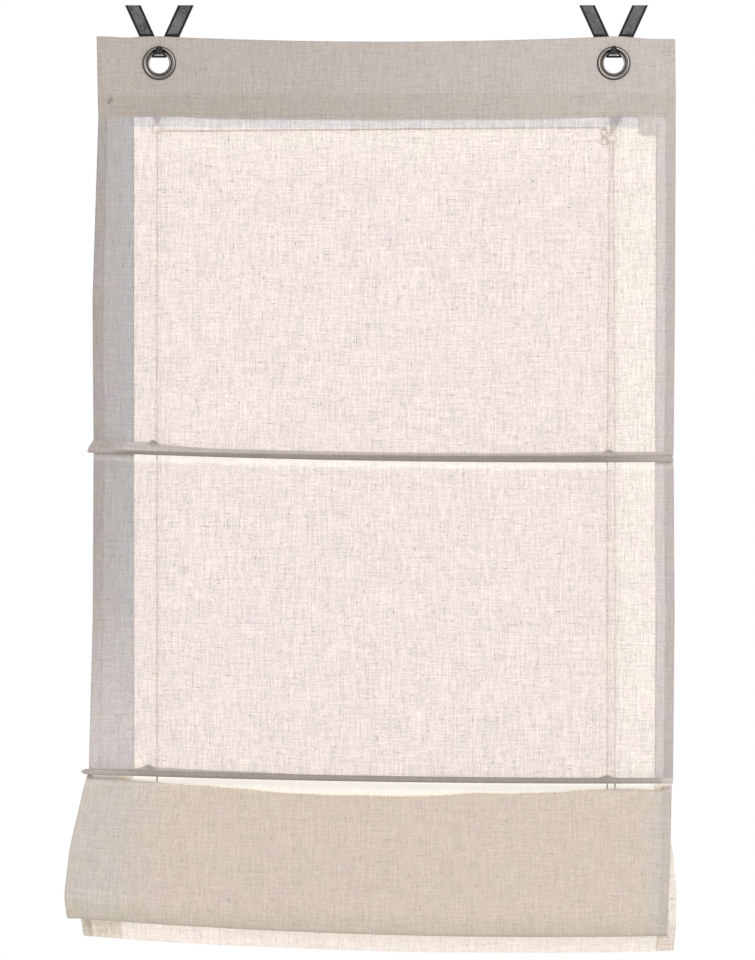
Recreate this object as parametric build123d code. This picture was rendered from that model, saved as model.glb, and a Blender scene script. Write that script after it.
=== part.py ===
from build123d import *
import math
import os

# A roman blind of plain linen, hung by two eyelets on V-shaped hooks and drawn half up.
# Millimetres. The origin is midway between the eyelet centres, in the plane of the front cloth.
# X runs to the right as seen from the room, Y runs towards the window, Z runs up.

# Cloth: one sheet with a face towards the room and a back towards the window
cloth_width = 600
cloth_thickness = 0.6
layer_gap = 0.3
left_hem_width = 36
right_hem_width = 19
header_rise = 28
header_sag = 5.5
header_seam_drop = 35
bottom_hem_height = 26

# Lines across the cloth, from the top down: the step to each at the middle,
# and how far its left and right ends lie above that
upper_tuck_drop = 410.5
tuck_spacing = 337.5
lower_tuck_step = 19
loop_length = 141
flap_show = 20
upper_tuck_left_rise = 8.5
upper_tuck_right_rise = -1
middle_tuck_left_rise = 7.5
middle_tuck_right_rise = -1.5
lower_tuck_left_rise = 15
lower_tuck_right_rise = 7
loop_left_rise = 16
loop_right_rise = -2.5
flap_left_rise = 15
flap_right_rise = 1

# Rods and the tucks sewn round them
rod_diameter = 4
rod_clearance = 0.5
rod_inset = 3
tuck_reach = 7
tuck_bend = 1.1
upper_tuck_droop = 20
lower_tuck_turn = 2

# The loop of slack cloth that hangs in front of the lower tuck
shoulder_fall = 4.5
shoulder_reach = 14
shoulder_drop = 10
shoulder_bend = 6
loop_reach = 27
loop_belly_bend = 60
loop_foot_reach = 24
loop_depth = 15
loop_foot_bend = 6

# Side edges of the cloth
left_bulge = 6.5
left_flare = 10
right_draw = 3
tuck_wing = 8
tuck_wing_height = 10
loop_left_flare = 34
loop_corner = 14
loop_right_draw = 8
flap_left_flare = 18

# Eyelets, pressed from sheet metal, with a washer behind the header
eyelet_inset = 62.5
eyelet_bore = 21
eyelet_sheet = 0.6
eyelet_flange = 35
eyelet_dome = 2.1
eyelet_rim = 1.2
eyelet_rim_bend = 0.9
eyelet_groove = 1
eyelet_crest_bend = 1.6
eyelet_groove_bend = 0.9
eyelet_lip_bend = 0.6
eyelet_lip = 2.2
crest_share = 0.72
groove_share = 0.33
washer_diameter = 33
washer_thickness = 0.6
seat_clearance = 0.05
hole_clearance = 0.3

# Hooks, cut and bent from flat steel strip
strip_width = 15
strip_thickness = 1.5
strip_bend = 1.6
hook_height = 61
hook_lean = 24.5
hook_clearance = 0.5
hook_shoulder = 4
tongue_rise = 11
tongue_lean = 14
tongue_tip = 2.4

# Header tape, and the ribbon tabs that carry the header rings
tape_height = 21
tape_thickness = 0.9
tape_inset = 9
ribbon_thickness = 0.5
left_tab_width = 9.5
left_tab_shift = 0
right_tab_width = 13
right_tab_shift = 4
tab_foot = 3
tab_clearance = 0.35
tab_overlap = 14
tab_bend_share = 0.9

# Rings, cords and knots
ring_diameter = 10
ring_wire = 1.8
ring_lift = 5
ring_clearance = 0.25
cord_diameter = 1.8
cord_bend = 3
cord_sway_bend = 300
left_cord_inset = 60
right_cord_inset = 69
right_ring_inset = 65
pull_cord_inset = 61
knot_inset = 72.8
left_ring_drop = 68
right_ring_drop = 79
cross_cord_drop = 67
bight_width = 3.6
bight_bend = 1.6
tie_turn = 250
knot_loop = 8
knot_drop = 73
pull_cord_sway_drop = 300
pull_cord_rise = 58
pull_knot_diameter = 6
pull_knot_length = 9

# Shared working values
cut_overrun = 12
bend_share = 0.97
half_share = 0.5
line_end_share = 1.07
section_count = 7
forward = 180
downward = 270

half_width = cloth_width / 2
left_hem_place = left_hem_width - half_width
right_hem_place = half_width - right_hem_width
middle_tuck_drop = upper_tuck_drop + tuck_spacing
lower_tuck_drop = middle_tuck_drop + lower_tuck_step
loop_drop = lower_tuck_drop + loop_length
flap_drop = loop_drop + flap_show
pull_cord_drop = loop_drop - pull_cord_rise
eyelet_place = half_width - eyelet_inset
left_cord_place = left_cord_inset - half_width
right_cord_place = half_width - right_cord_inset
right_ring_place = half_width - right_ring_inset
pull_cord_place = half_width - pull_cord_inset
knot_place = half_width - knot_inset
half_cloth = cloth_thickness / 2
hem_offset = half_cloth + cloth_thickness
fold_spacing = 2 * hem_offset + cloth_thickness + layer_gap
header_back = fold_spacing + half_cloth
rod_radius = rod_diameter / 2
tuck_radius = rod_radius + rod_clearance + hem_offset
neck_half = fold_spacing / 2
tuck_spread = math.asin(tuck_radius / math.hypot(tuck_reach, neck_half)) - math.atan2(neck_half, tuck_reach)
upper_neck_place = neck_half * math.sin(math.radians(upper_tuck_droop))
lower_neck_place = -2 * lower_tuck_turn - neck_half
wire_radius = ring_wire / 2
ring_radius = ring_diameter / 2
cord_radius = cord_diameter / 2
knot_radius = knot_loop / 2
tie_radius = wire_radius + ring_clearance + cord_radius
ring_depth = half_cloth + seat_clearance + wire_radius + ring_radius
cord_depth = ring_depth + ring_radius - tie_radius
cross_depth = half_cloth + layer_gap + cord_radius
tape_front = hem_offset + layer_gap
tape_back = tape_front + tape_thickness
tape_foot = -header_seam_drop - layer_gap - tape_height
tab_fold = wire_radius + tab_clearance + ribbon_thickness / 2
tab_depth = tape_back + seat_clearance + ribbon_thickness / 2
header_ring_depth = tab_depth + tab_fold
eyelet_front = half_cloth + seat_clearance + eyelet_dome + eyelet_sheet / 2
eyelet_back = header_back + 2 * seat_clearance + washer_thickness + eyelet_sheet


def line_across(drop, left_rise, right_rise):
    """Height of a line across the cloth: a parabola through its left end, middle and right end."""
    slope = (right_rise - left_rise) / 2
    bow = (right_rise + left_rise) / 2

    def height(x):
        s = max(-line_end_share, min(line_end_share, x / half_width))
        return slope * s + bow * s * s - drop

    return height


upper_tuck = line_across(upper_tuck_drop, upper_tuck_left_rise, upper_tuck_right_rise)
middle_tuck = line_across(middle_tuck_drop, middle_tuck_left_rise, middle_tuck_right_rise)
lower_tuck = line_across(lower_tuck_drop, lower_tuck_left_rise, lower_tuck_right_rise)
loop_foot = line_across(loop_drop, loop_left_rise, loop_right_rise)
flap_foot = line_across(flap_drop, flap_left_rise, flap_right_rise)


def header_top(x):
    """Height of the header's upper fold, which sags between the two eyelets."""
    s = min(abs(x) / eyelet_place, 1)
    return header_rise - header_sag * (1 - s * s)


def bent_line(points, bends):
    """Straight runs through points, joined at each inner point by a tangent arc of its bend."""
    edges = []
    start = points[0]
    for before, corner, after, bend in zip(points, points[1:], points[2:], bends):
        way_in = (corner - before).normalized()
        way_out = (after - corner).normalized()
        reach = bend * math.tan(math.radians(way_in.get_angle(way_out)) / 2)
        arc_start = corner - way_in * reach
        edges.append(Edge.make_line(start, arc_start))
        start = corner + way_out * reach
        edges.append(Edge.make_tangent_arc(arc_start, way_in, start))
    edges.append(Edge.make_line(start, points[-1]))
    return edges


def ribbon(points, bends, left, right, place):
    """Section of a bent strip, as a face: material to the left and right of a line of runs and bends.

    points are pairs in the plane of the section, and place maps such a pair to a point in space.
    """
    corners = [Vector(*point) for point in points]
    ways = [(b - a).normalized() for a, b in zip(corners, corners[1:])]
    normals = [Vector(-way.Y, way.X) for way in ways]
    turns = [math.copysign(1, a.X * b.Y - a.Y * b.X) for a, b in zip(ways, ways[1:])]

    def side(offset):
        shifts = [(a + b) * (offset / (1 + a.dot(b))) for a, b in zip(normals, normals[1:])]
        shifts = [normals[0] * offset] + shifts + [normals[-1] * offset]
        moved = [corner + shift for corner, shift in zip(corners, shifts)]
        radii = [bend - turn * offset for bend, turn in zip(bends, turns)]
        return bent_line([place(point.X, point.Y) for point in moved], radii)

    left_side = side(left)
    right_side = side(-right)
    start_cap = Edge.make_line(right_side[0] @ 0, left_side[0] @ 0)
    end_cap = Edge.make_line(left_side[-1] @ 1, right_side[-1] @ 1)
    return Face(Wire([start_cap, *left_side, end_cap, *right_side]))


def tuck_corners(neck_y, neck_z, way):
    """Corners of a pocket sewn round a rod: neck, two front corners, neck.

    The pocket points along way, in degrees from the Y axis, and its two layers
    leave the neck side by side and run tangent to the round of the pocket.
    """
    front = tuck_reach + tuck_radius
    front_half = neck_half + front * math.tan(tuck_spread)
    out = Vector(1, 0).rotate(Axis.Z, way)
    across = Vector(0, 1).rotate(Axis.Z, way)
    local = [(0, -neck_half), (front, -front_half), (front, front_half), (0, neck_half)]
    shifts = [out * a + across * b for a, b in local]
    return [(neck_y + shift.X, neck_z + shift.Y) for shift in shifts]


upper_tuck_way = forward + upper_tuck_droop
middle_tuck_way = forward
lower_tuck_way = downward
tuck_bends = [tuck_bend, tuck_radius * bend_share, tuck_radius * bend_share, tuck_bend]


def rod_centre(x, neck_y, neck_z, way):
    """Centre of the rod at x in a pocket that points along way."""
    out = Vector(tuck_reach, 0).rotate(Axis.Z, way)
    return Vector(x, neck_y + out.X, neck_z + out.Y)


def upper_rod(x):
    """Centre of the upper rod at x."""
    return rod_centre(x, upper_neck_place, upper_tuck(x), upper_tuck_way)


def middle_rod(x):
    """Centre of the middle rod at x."""
    return rod_centre(x, 0, middle_tuck(x), middle_tuck_way)


def lower_rod(x):
    """Centre of the lower rod at x, in a pocket that hangs from the turned-over cloth."""
    return rod_centre(x, lower_neck_place, lower_tuck(x) - half_cloth - lower_tuck_turn, lower_tuck_way)


def cloth_section(x, back):
    """Section of the whole folded sheet at x, from the header's hem to the bottom hem."""
    top = header_top(x) - half_cloth
    middle = middle_tuck(x)
    foot = loop_foot(x) + half_cloth
    turn_top = lower_tuck(x) - half_cloth
    neck = turn_top - lower_tuck_turn
    bottom = flap_foot(x) + half_cloth
    fold = neck_half * bend_share
    turn = 2 * lower_tuck_turn * bend_share / (1 + math.tan(math.pi / 4 + tuck_spread / 2))
    rising = lower_neck_place - neck_half - 2 * lower_tuck_turn
    pocket = tuck_corners(lower_neck_place, neck, lower_tuck_way)
    belly = middle + (foot - middle) * half_share

    header = [(fold_spacing, -header_seam_drop), (fold_spacing, top), (0, top)]
    upper = tuck_corners(upper_neck_place, upper_tuck(x), upper_tuck_way)
    lower = tuck_corners(0, middle, middle_tuck_way)
    loop = [
        (0, middle - shoulder_fall),
        (-shoulder_reach, middle - shoulder_drop),
        (-loop_reach, belly),
        (-loop_foot_reach, foot),
        (loop_depth - loop_foot_reach, foot),
    ]
    turn_over = [(rising, turn_top), (rising + 2 * lower_tuck_turn, turn_top)]
    turn_down = [(-2 * lower_tuck_turn, turn_top), (0, turn_top)]
    flap = [(0, bottom), (fold_spacing, bottom), (fold_spacing, bottom + bottom_hem_height)]

    points = header + upper + lower + loop + turn_over + pocket[1:3] + turn_down + flap
    bends = [fold, fold] + tuck_bends + tuck_bends
    bends += [tuck_bend, shoulder_bend, loop_belly_bend, loop_foot_bend, loop_foot_bend]
    bends += [turn, turn] + tuck_bends[1:3] + [turn, turn] + [fold, fold]
    return ribbon(points, bends, back, half_cloth, lambda y, z: Vector(x, y, z))


def cloth_zone(places, back):
    """A stretch of the sheet between the first and last of places, with its back face at back."""
    return Solid.make_loft([cloth_section(x, back).outer_wire() for x in places])


def spread(start, end, count):
    """Evenly spaced places from start to end."""
    return [start + (end - start) * i / (count - 1) for i in range(count)]


def side_cutter(outline, far, front, rear):
    """What lies between a side edge of the cloth and a place far beyond it, from one depth to another."""
    points = [(far, outline[0][1])] + outline + [(far, outline[-1][1])]
    face = make_face(Polyline(*[(x, front, z) for x, z in points], close=True))
    return extrude(face, amount=rear - front, dir=(0, 1, 0))


def wing(edge, height):
    """Where a rod pushes the tuck out past the left edge: three points of the outline."""
    rise = tuck_wing_height / 2
    return [(edge, height + rise), (edge - tuck_wing, height), (edge, height - rise)]


def make_cloth():
    """The sheet in three zones, its hems trimmed to the side edges and its middle pierced for the eyelets."""
    over = header_rise + cut_overrun
    under = -flap_drop - cut_overrun
    bulge_place = -upper_tuck_drop * half_share
    left_top = [(-half_width, over), (-half_width, -header_seam_drop)]
    left_top += [(-half_width - left_bulge, bulge_place)]
    left_top += wing(-half_width, upper_rod(-half_width).Z)
    left_top += wing(-half_width - left_flare, middle_rod(-half_width).Z)
    loop_left = -half_width - loop_left_flare
    loop_end = loop_foot(loop_left)
    corner = loop_left + loop_corner * half_share
    left_loop = [(loop_left, loop_end + loop_corner), (corner, loop_end - cut_overrun), (corner, under)]
    left_flap = [(-half_width - flap_left_flare, under)]
    drawn = half_width - right_draw
    right_top = [(half_width, over), (half_width, bulge_place)]
    right_top += [(drawn, upper_tuck(half_width)), (drawn, middle_tuck(half_width))]
    right_loop = [(half_width - loop_right_draw, under)]
    right_flap = [(half_width, under)]

    front = -loop_reach - cut_overrun
    split = -cloth_thickness
    rear = fold_spacing + cut_overrun
    far_left = loop_left - cut_overrun
    far_right = half_width + cut_overrun
    line_end = -half_width * line_end_share
    left = cloth_zone((far_left, line_end, -half_width, left_hem_place), hem_offset)
    left -= side_cutter(left_top + left_loop, far_left - cut_overrun, front, split)
    left -= side_cutter(left_top + left_flap, far_left - cut_overrun, split, rear)
    right = cloth_zone((right_hem_place, half_width, far_right), hem_offset)
    right -= side_cutter(right_top + right_loop, far_right + cut_overrun, front, split)
    right -= side_cutter(right_top + right_flap, far_right + cut_overrun, split, rear)

    middle = cloth_zone(spread(left_hem_place, right_hem_place, section_count), half_cloth)
    hole = Cylinder(eyelet_bore / 2 + eyelet_sheet + hole_clearance, 2 * cut_overrun, rotation=(90, 0, 0))
    for side in (-1, 1):
        middle -= Pos(side * eyelet_place, 0, 0) * hole
    return left + middle + right


def make_rod(centre, left_end, right_end):
    """A round rod, bowed as its tuck is."""
    path = ThreePointArc(centre(left_end), centre((left_end + right_end) / 2), centre(right_end))
    return sweep(Plane(path @ 0, z_dir=path % 0) * Circle(rod_radius), path)


def make_eyelet():
    """A pressed ring: domed flange, groove, rolled bore and the lip turned over at the back."""
    rim = (eyelet_flange - eyelet_sheet) / 2
    bore = (eyelet_bore + eyelet_sheet) / 2
    face = -half_cloth - seat_clearance
    width = rim - bore
    points = [
        (rim, face),
        (rim, face - eyelet_rim),
        (bore + width * crest_share, face - eyelet_dome),
        (bore + width * groove_share, face - eyelet_groove),
        (bore, face - eyelet_dome),
        (bore, eyelet_back - eyelet_sheet / 2),
        (bore + eyelet_lip, eyelet_back - eyelet_sheet / 2),
    ]
    bends = [eyelet_rim_bend, eyelet_crest_bend, eyelet_groove_bend, eyelet_lip_bend, eyelet_lip_bend]
    section = ribbon(points, bends, eyelet_sheet / 2, eyelet_sheet / 2, lambda r, y: Vector(r, y, 0))
    return revolve(section, Axis.Y)


def make_washer():
    """The flat ring that the eyelet's lip is turned over on, behind the header."""
    ring = Circle(washer_diameter / 2) - Circle(eyelet_bore / 2 + eyelet_sheet + hole_clearance)
    return Pos(0, header_back + seat_clearance, 0) * extrude(Plane.XZ * ring, -washer_thickness)


def make_hook():
    """A V of flat strip behind the header, its point bent forward through the eyelet and up in front."""
    half_strip = strip_width / 2
    saddle = math.sqrt((eyelet_bore / 2) ** 2 - half_strip**2) - seat_clearance
    throat = saddle - strip_thickness / 2
    plate = eyelet_back + hook_clearance + strip_thickness / 2
    front = -eyelet_front - hook_clearance - strip_thickness / 2
    shoulder = saddle + hook_shoulder
    tip = throat + tongue_rise
    lean = math.tan(math.radians(tongue_lean))
    points = [(plate, shoulder), (plate, throat), (front, throat), (front - tongue_rise * lean, tip)]
    half = strip_thickness / 2
    bends = [strip_bend, strip_bend]
    section = ribbon(points, bends, half, half, lambda y, z: Vector(-half_strip, y, z))
    hook = extrude(section, amount=strip_width, dir=(1, 0, 0))

    high = tip + cut_overrun
    slope = (half_strip - tongue_tip / 2) / tongue_rise
    for side in (-1, 1):
        edge = [(half_strip, saddle), (tongue_tip / 2 - cut_overrun * slope, high)]
        edge += [(strip_width, high), (strip_width, saddle)]
        corner = make_face(Polyline(*[(side * x, 0, z) for x, z in edge], close=True))
        hook -= extrude(corner, amount=cut_overrun, dir=(0, -1, 0))
        spread_out = math.tan(math.radians(hook_lean))
        arm_half = half_strip / math.cos(math.radians(hook_lean))
        places = [(z * spread_out + shift, z) for z, shift in (
            (saddle, -arm_half),
            (saddle, arm_half),
            (hook_height, arm_half),
            (hook_height, -arm_half),
        )]
        arm = make_face(Polyline(*[(side * x, plate - half, z) for x, z in places], close=True))
        hook += extrude(arm, amount=strip_thickness, dir=(0, 1, 0))
    return hook


def make_tape():
    """The flat tape sewn behind the cloth under the header's hem."""
    left = -half_width + tape_inset
    box = Box(half_width - left, tape_thickness, tape_height, align=(Align.MIN, Align.MIN, Align.MIN))
    return Pos(left, tape_front, tape_foot) * box


def make_tab(ring_place, ring_drop, width, shift):
    """A ribbon sewn to the tape, drawn together at its foot and folded there under the top of a ring."""
    top = tape_foot + tab_overlap
    seat = ring_radius - ring_drop
    fold = seat - tab_fold
    over = tab_depth + ribbon_thickness + seat_clearance
    points = [(tab_depth, top), (tab_depth, fold), (tab_depth + 2 * tab_fold, fold), (over, top)]
    bend = tab_fold * tab_bend_share
    half = ribbon_thickness / 2
    left = ring_place + shift - width / 2
    right = ring_place + shift + width / 2
    foot_left = ring_place - tab_foot / 2
    foot_right = ring_place + tab_foot / 2
    section = ribbon(points, [bend, bend], half, half, lambda y, z: Vector(foot_left - width, y, z))
    strip = extrude(section, amount=width + tab_foot + width, dir=(1, 0, 0))
    under = fold - cut_overrun
    outline = [(left, top), (right, top), (right, tape_foot), (foot_right, seat), (foot_right, under)]
    outline += [(foot_left, under), (foot_left, seat), (left, tape_foot)]
    face = make_face(Polyline(*[(x, 0, z) for x, z in outline], close=True))
    return strip & extrude(face, amount=cut_overrun, dir=(0, 1, 0))


def tube(edges):
    """A round cord along a path of runs and arcs. Its volume is set against its section times its length."""
    path = Wire(edges)
    start = edges[0]
    solid = sweep(Plane(start @ 0, z_dir=start % 0) * Circle(cord_radius), path)
    true_volume = math.pi * cord_radius**2 * path.length
    print("cord length", round(path.length, 1), "volume share", round(solid.volume / true_volume, 4))
    return solid


def tie(x, height):
    """The end of a lift cord, taken round the back of its lowest ring."""
    centre = Vector(x, ring_depth + ring_radius, height)
    around = [forward + tie_turn, forward + tie_turn / 2, forward]
    points = [centre + Vector(0, tie_radius, 0).rotate(Axis.X, angle) for angle in around]
    return Edge.make_three_point_arc(*points)


def lower_ring_height(x):
    """Height of the ring behind the lower tuck at x."""
    return lower_tuck(x) - ring_lift


def make_left_lift_cord():
    """From the lowest left ring up to the header ring, through it and across to the knot."""
    foot = lower_ring_height(left_cord_place)
    height = -left_ring_drop - ring_radius + tie_radius
    points = [
        Vector(left_cord_place, cord_depth, foot),
        Vector(left_cord_place, cord_depth, height),
        Vector(left_cord_place, cross_depth, height),
        Vector(knot_place + cord_diameter, cross_depth, -cross_cord_drop),
    ]
    return tube([tie(left_cord_place, foot)] + bent_line(points, [cord_bend, cord_bend]))


half_bight = bight_width / 2
bight_drop = math.sqrt((ring_radius - tie_radius) ** 2 - half_bight**2)
bight_height = -right_ring_drop - bight_drop
bight_front = Vector(right_ring_place, cross_depth, bight_height)


def make_right_lift_cord():
    """From the lowest right ring up and through the header ring, to the middle of the bight in front."""
    foot = lower_ring_height(right_cord_place)
    side = right_ring_place - half_bight
    points = [
        Vector(right_cord_place, cord_depth, foot),
        Vector(right_cord_place, cord_depth, -upper_tuck_drop),
        Vector(side, cord_depth, bight_height),
        Vector(side, cross_depth, bight_height),
        bight_front,
    ]
    return tube([tie(right_cord_place, foot)] + bent_line(points, [cord_sway_bend, cord_bend, bight_bend]))


def make_pull_cord():
    """From the bight back through the header ring, then straight down behind the cloth."""
    side = right_ring_place + half_bight
    points = [
        bight_front,
        Vector(side, cross_depth, bight_height),
        Vector(side, cord_depth, bight_height),
        Vector(pull_cord_place, cord_depth, -pull_cord_sway_drop),
        Vector(pull_cord_place, cord_depth, -pull_cord_drop),
    ]
    bends = [bight_bend, cord_bend, cord_sway_bend]
    print("pull cord radii", bends)
    return tube(bent_line(points, bends))


def make_knot():
    """Two loops of cord, one under the other, as a figure eight."""
    loop = Rot(90, 0, 0) * Torus(knot_radius, cord_radius)
    upper = Pos(knot_place, cross_depth, -knot_drop) * loop
    return upper + Pos(0, 0, -knot_loop) * upper


def make_pull_knot():
    """The knot at the end of the pull cord, round and a little longer than wide."""
    side = ThreePointArc(
        (cord_radius, 0, 0),
        (pull_knot_diameter / 2, 0, -pull_knot_length / 2),
        (cord_radius, 0, -pull_knot_length),
    )
    back = Polyline(side @ 1, (0, 0, -pull_knot_length), (0, 0, 0), side @ 0)
    knot = revolve(make_face([side, *back.edges()]), Axis.Z)
    return Pos(pull_cord_place, cord_depth, -pull_cord_drop) * knot


left_end = -half_width - tuck_wing * half_share
right_end = half_width - right_draw - rod_inset
parts = {
    "blind_cloth": make_cloth(),
    "header_tape": make_tape(),
    "tuck_rod_upper": make_rod(upper_rod, left_end, right_end),
    "tuck_rod_middle": make_rod(middle_rod, left_end - left_flare, right_end),
    "tuck_rod_lower": make_rod(lower_rod, -half_width, right_end - loop_right_draw),
    "header_tab_left": make_tab(left_cord_place, left_ring_drop, left_tab_width, left_tab_shift),
    "header_tab_right": make_tab(right_ring_place, right_ring_drop, right_tab_width, right_tab_shift),
    "lift_cord_left": make_left_lift_cord(),
    "lift_cord_right": make_right_lift_cord(),
    "pull_cord": make_pull_cord(),
    "cord_knot": make_knot(),
    "pull_cord_knot": make_pull_knot(),
}

eyelet = make_eyelet()
washer = make_washer()
hook = make_hook()
for side, name in ((-1, "left"), (1, "right")):
    place = Pos(side * eyelet_place, 0, 0)
    parts["eyelet_" + name] = place * eyelet
    parts["eyelet_washer_" + name] = place * washer
    parts["hook_" + name] = place * hook

header_ring = Rot(90, 0, 0) * Torus(ring_radius, wire_radius)
parts["header_ring_left"] = Pos(left_cord_place, header_ring_depth, -left_ring_drop) * header_ring
parts["header_ring_right"] = Pos(right_ring_place, header_ring_depth, -right_ring_drop) * header_ring
cord_ring = Torus(ring_radius, wire_radius)
for x, name in ((left_cord_place, "left"), (right_cord_place, "right")):
    for row, height in (
        ("upper", upper_tuck(x) + ring_lift),
        ("middle", middle_tuck(x) + ring_lift),
        ("lower", lower_ring_height(x)),
    ):
        parts["cord_ring_" + row + "_" + name] = Pos(x, ring_depth, height) * cord_ring

os.makedirs("parts", exist_ok=True)
for name, part in parts.items():
    export_step(part, "parts/" + name + ".step")
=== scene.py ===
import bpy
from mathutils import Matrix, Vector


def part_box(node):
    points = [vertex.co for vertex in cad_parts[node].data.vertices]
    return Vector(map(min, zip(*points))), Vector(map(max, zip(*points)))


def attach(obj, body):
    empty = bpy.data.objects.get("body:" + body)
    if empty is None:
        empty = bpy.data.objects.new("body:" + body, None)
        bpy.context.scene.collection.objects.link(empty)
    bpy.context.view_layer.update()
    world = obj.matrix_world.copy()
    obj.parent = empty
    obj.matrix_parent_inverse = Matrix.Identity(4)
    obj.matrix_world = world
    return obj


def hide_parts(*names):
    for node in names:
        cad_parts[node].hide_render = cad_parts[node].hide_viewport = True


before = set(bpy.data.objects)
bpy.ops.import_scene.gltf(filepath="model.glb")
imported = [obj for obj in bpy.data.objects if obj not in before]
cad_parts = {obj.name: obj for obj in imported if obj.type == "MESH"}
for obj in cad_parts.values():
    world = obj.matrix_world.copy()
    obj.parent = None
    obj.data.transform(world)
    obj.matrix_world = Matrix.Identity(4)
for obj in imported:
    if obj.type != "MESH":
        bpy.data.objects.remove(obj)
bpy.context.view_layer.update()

# Looks of a linen roman blind: the cloth with its tucks and its slack loop, the fittings and the cords.
# Lengths are in millimetres and become metres in each mesh. X runs right, Y to the window, Z up.
import math

import bpy
import numpy as np
from mathutils import Vector

MM = 0.001

# Cloth
half_width = 300
cloth_thickness = 0.5
hem_spacing = 0.56
flap_hem_spread = 1.9
tuck_hem_spread = 0.3
left_hem = 36
right_hem = 19
hem_strip = 9.5
layer_spacing = 2.7
header_rise = 28
header_sag = 5.5
header_right_drop = 2.8
header_right_end = (240, 280)
header_dip = 1.3
header_dip_place = -272
header_dip_reach = 14
seam_drop = 35.3
band_drop = 59.2
band_sag = 1.2
band_rise = 2.9
band_rise_reach = 45
light_band_drop = 68.5
bottom_hem = 26
line_end_share = 1.07

# Lines across the cloth: drop at the middle, and rise from there at the left and the right edge
upper_tuck_line = (410.5, 8.5, -1)
middle_tuck_line = (748, 7.5, -1.5)
lower_tuck_line = (767, 15, 7)
loop_foot_line = (909.5, 15.5, -1)
flap_foot_line = (928, 15, 1)

# Columns of the sheet's grid, closer together at the hems, round the eyelets and at the dark mark at the left
# end of the header's seam
plain_columns = 79
hole_reach = 16.5
hole_pitch = 3
hole_clear = 19
seam_mark_columns = (-295, -281, 1.7)
narrowest_column = 0.35
edge_clear = 1
left_hem_columns = 8
right_hem_columns = 6
fold_turns = (150, 90, 30)

# Runs of the sheet's profile, from the header's hem to the bottom hem: points on each, and numbers of some.
# A tuck has three runs, and its number is that of the first.
profile_runs = [12, 1, 18, 8, 3, 22, 24, 3, 2, 2, 22, 32, 3, 2, 2, 1, 6, 20, 14, 6]
profile_runs += [2, 20, 1, 2, 2, 2, 1, 6, 6, 6, 6, 7, 1, 7]
header_run = 2
band_run = 3
light_band_run = 4
upper_panel_run = 5
upper_tuck_run = 7
lower_panel_run = 10
lower_panel_foot_run = 11
middle_tuck_run = 12
shoulder_run = 16
belly_run = 17
loop_foot_run = 19
rising_run = 21
lower_tuck_run = 23
flap_run = 27
bottom_fold_run = 32

# Powers by which rows close up at the start of a run, and looseness of stretches that hang free
closer_rows = {upper_panel_run: 1.5, lower_panel_run: 1.6, belly_run: 1.8}
loose_stretches = [
    (upper_panel_run, upper_tuck_run, 1),
    (lower_panel_foot_run, middle_tuck_run, 1),
    (shoulder_run, loop_foot_run, 1.6),
    (flap_run, bottom_fold_run, 1),
]
smooth_reach = 6

# Unevenness of the hung sheet, as waves: height, lengths across and along, and start
wrinkle_waves = [(0.45, 71, 190, 0.6), (0.35, 43, -130, 2.1), (0.3, 160, 58, 4.0), (0.18, 29, 88, 1.2)]

# How far the left and the right edge stand out from the straight: the widths over which that fades, and
# then its amount at the corners of a tuck and at shares of the way down the flap
hem_pull = 36
loop_pull = 130
upper_tuck_edges = [(-5.6, -0.4), (-11.8, -1.8), (-11.8, -1.8), (-5.6, -0.4)]
middle_tuck_edges = [(-10.6, -1), (-18, -1.56), (-18, -1.56), (-10.6, -1)]
flap_edges = [(0.2, -14, -5.5), (0.45, -17, 0), (0.65, -19, 2.2), (0.85, -20, 2)]

# Tucks round the rods, with the shares of the largest bends that fit and the taper of the left tips
tuck_reach = 7
tuck_radius = 2.5
neck_half = 1.35
tuck_bend = 1.1
upper_droop = 20
turn_radius = 2
bend_share = 0.97
turn_share = 0.8
tip_length = 8
tip_taper = 3.2
tip_taper_limit = 1.6
upper_tip_height = -4.8
upper_tip_top_taper = 0.6

# Rise of the cloth over a tuck at places across, with a peak where a cord draws each ring up
upper_pucker_places = [-300, -262, -249, -244, -238, -215, -190, 0, 140, 215, 228, 232, 238, 260, 300]
upper_pucker_rises = [6.8, 6.0, 5.7, 9.6, 4.4, 3.2, 1.9, 1.8, 2.6, 3.8, 4.6, 7.4, 4.2, 4.0, 3.4]
middle_pucker_places = [-300, -262, -253, -249, -243, -230, -170, -90, 221, 231, 237, 300]
middle_pucker_rises = [0.8, 2.4, 5.2, 8.0, 4.8, 4.2, 3.0, 0.8, 0.6, 3.4, 0.8, 0.4]

# Height above the lower tuck, at places across, down to which painted light comes through the loop's shoulder
glow_places = [-270, -220, -190, -158, -127, -90, -50, 0, 45, 92, 140, 160, 205, 238, 262, 285]
glow_rises = [5.2, 5.8, 5.6, 4.4, 3.0, 2.2, 1.2, 1.8, 2.4, 4.6, 4.2, 4.4, 4.4, 5.4, 3.8, 1.0]

# Loop and its shoulder, and the middles of the two panels
loop_reach = 27
loop_foot_reach = 24
loop_depth = 15
loop_bend = 6
belly_bend = 60
shoulder_bend = 6
shoulder_drop = 4.5
shoulder_reach = 14
shoulder_foot = 10
loop_low_rise = 24
loop_low_back = 0.6
upper_panel_middle = -247
lower_panel_middle = -575

# Eyelets, pressed from sheet: corners of the section as radius and depth, and the bend at each inner one
eyelet_place = 237.5
eyelet_hole = 13.8
eyelet_sheet = 0.6
eyelet_section = [(17.2, -0.3), (17.2, -1.5), (15.4, -2.4), (12.9, -1.3), (10.8, -2.4), (10.8, 4), (13, 4)]
eyelet_bends = [0.9, 1.6, 0.9, 0.6, 0.6]
eyelet_runs = [2, 2, 3, 2, 6, 3]
eyelet_steps = 96
eyelet_arc_steps = 8

# Radii between which an eyelet's plate turns darker and rougher: painted shade at its rim and in its bore,
# patina in its groove
rim_radii = (16.3, 16.9)
groove_radii = (11.9, 12.3, 13.0, 13.6)
bore_radii = (10.9, 10.6)
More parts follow.
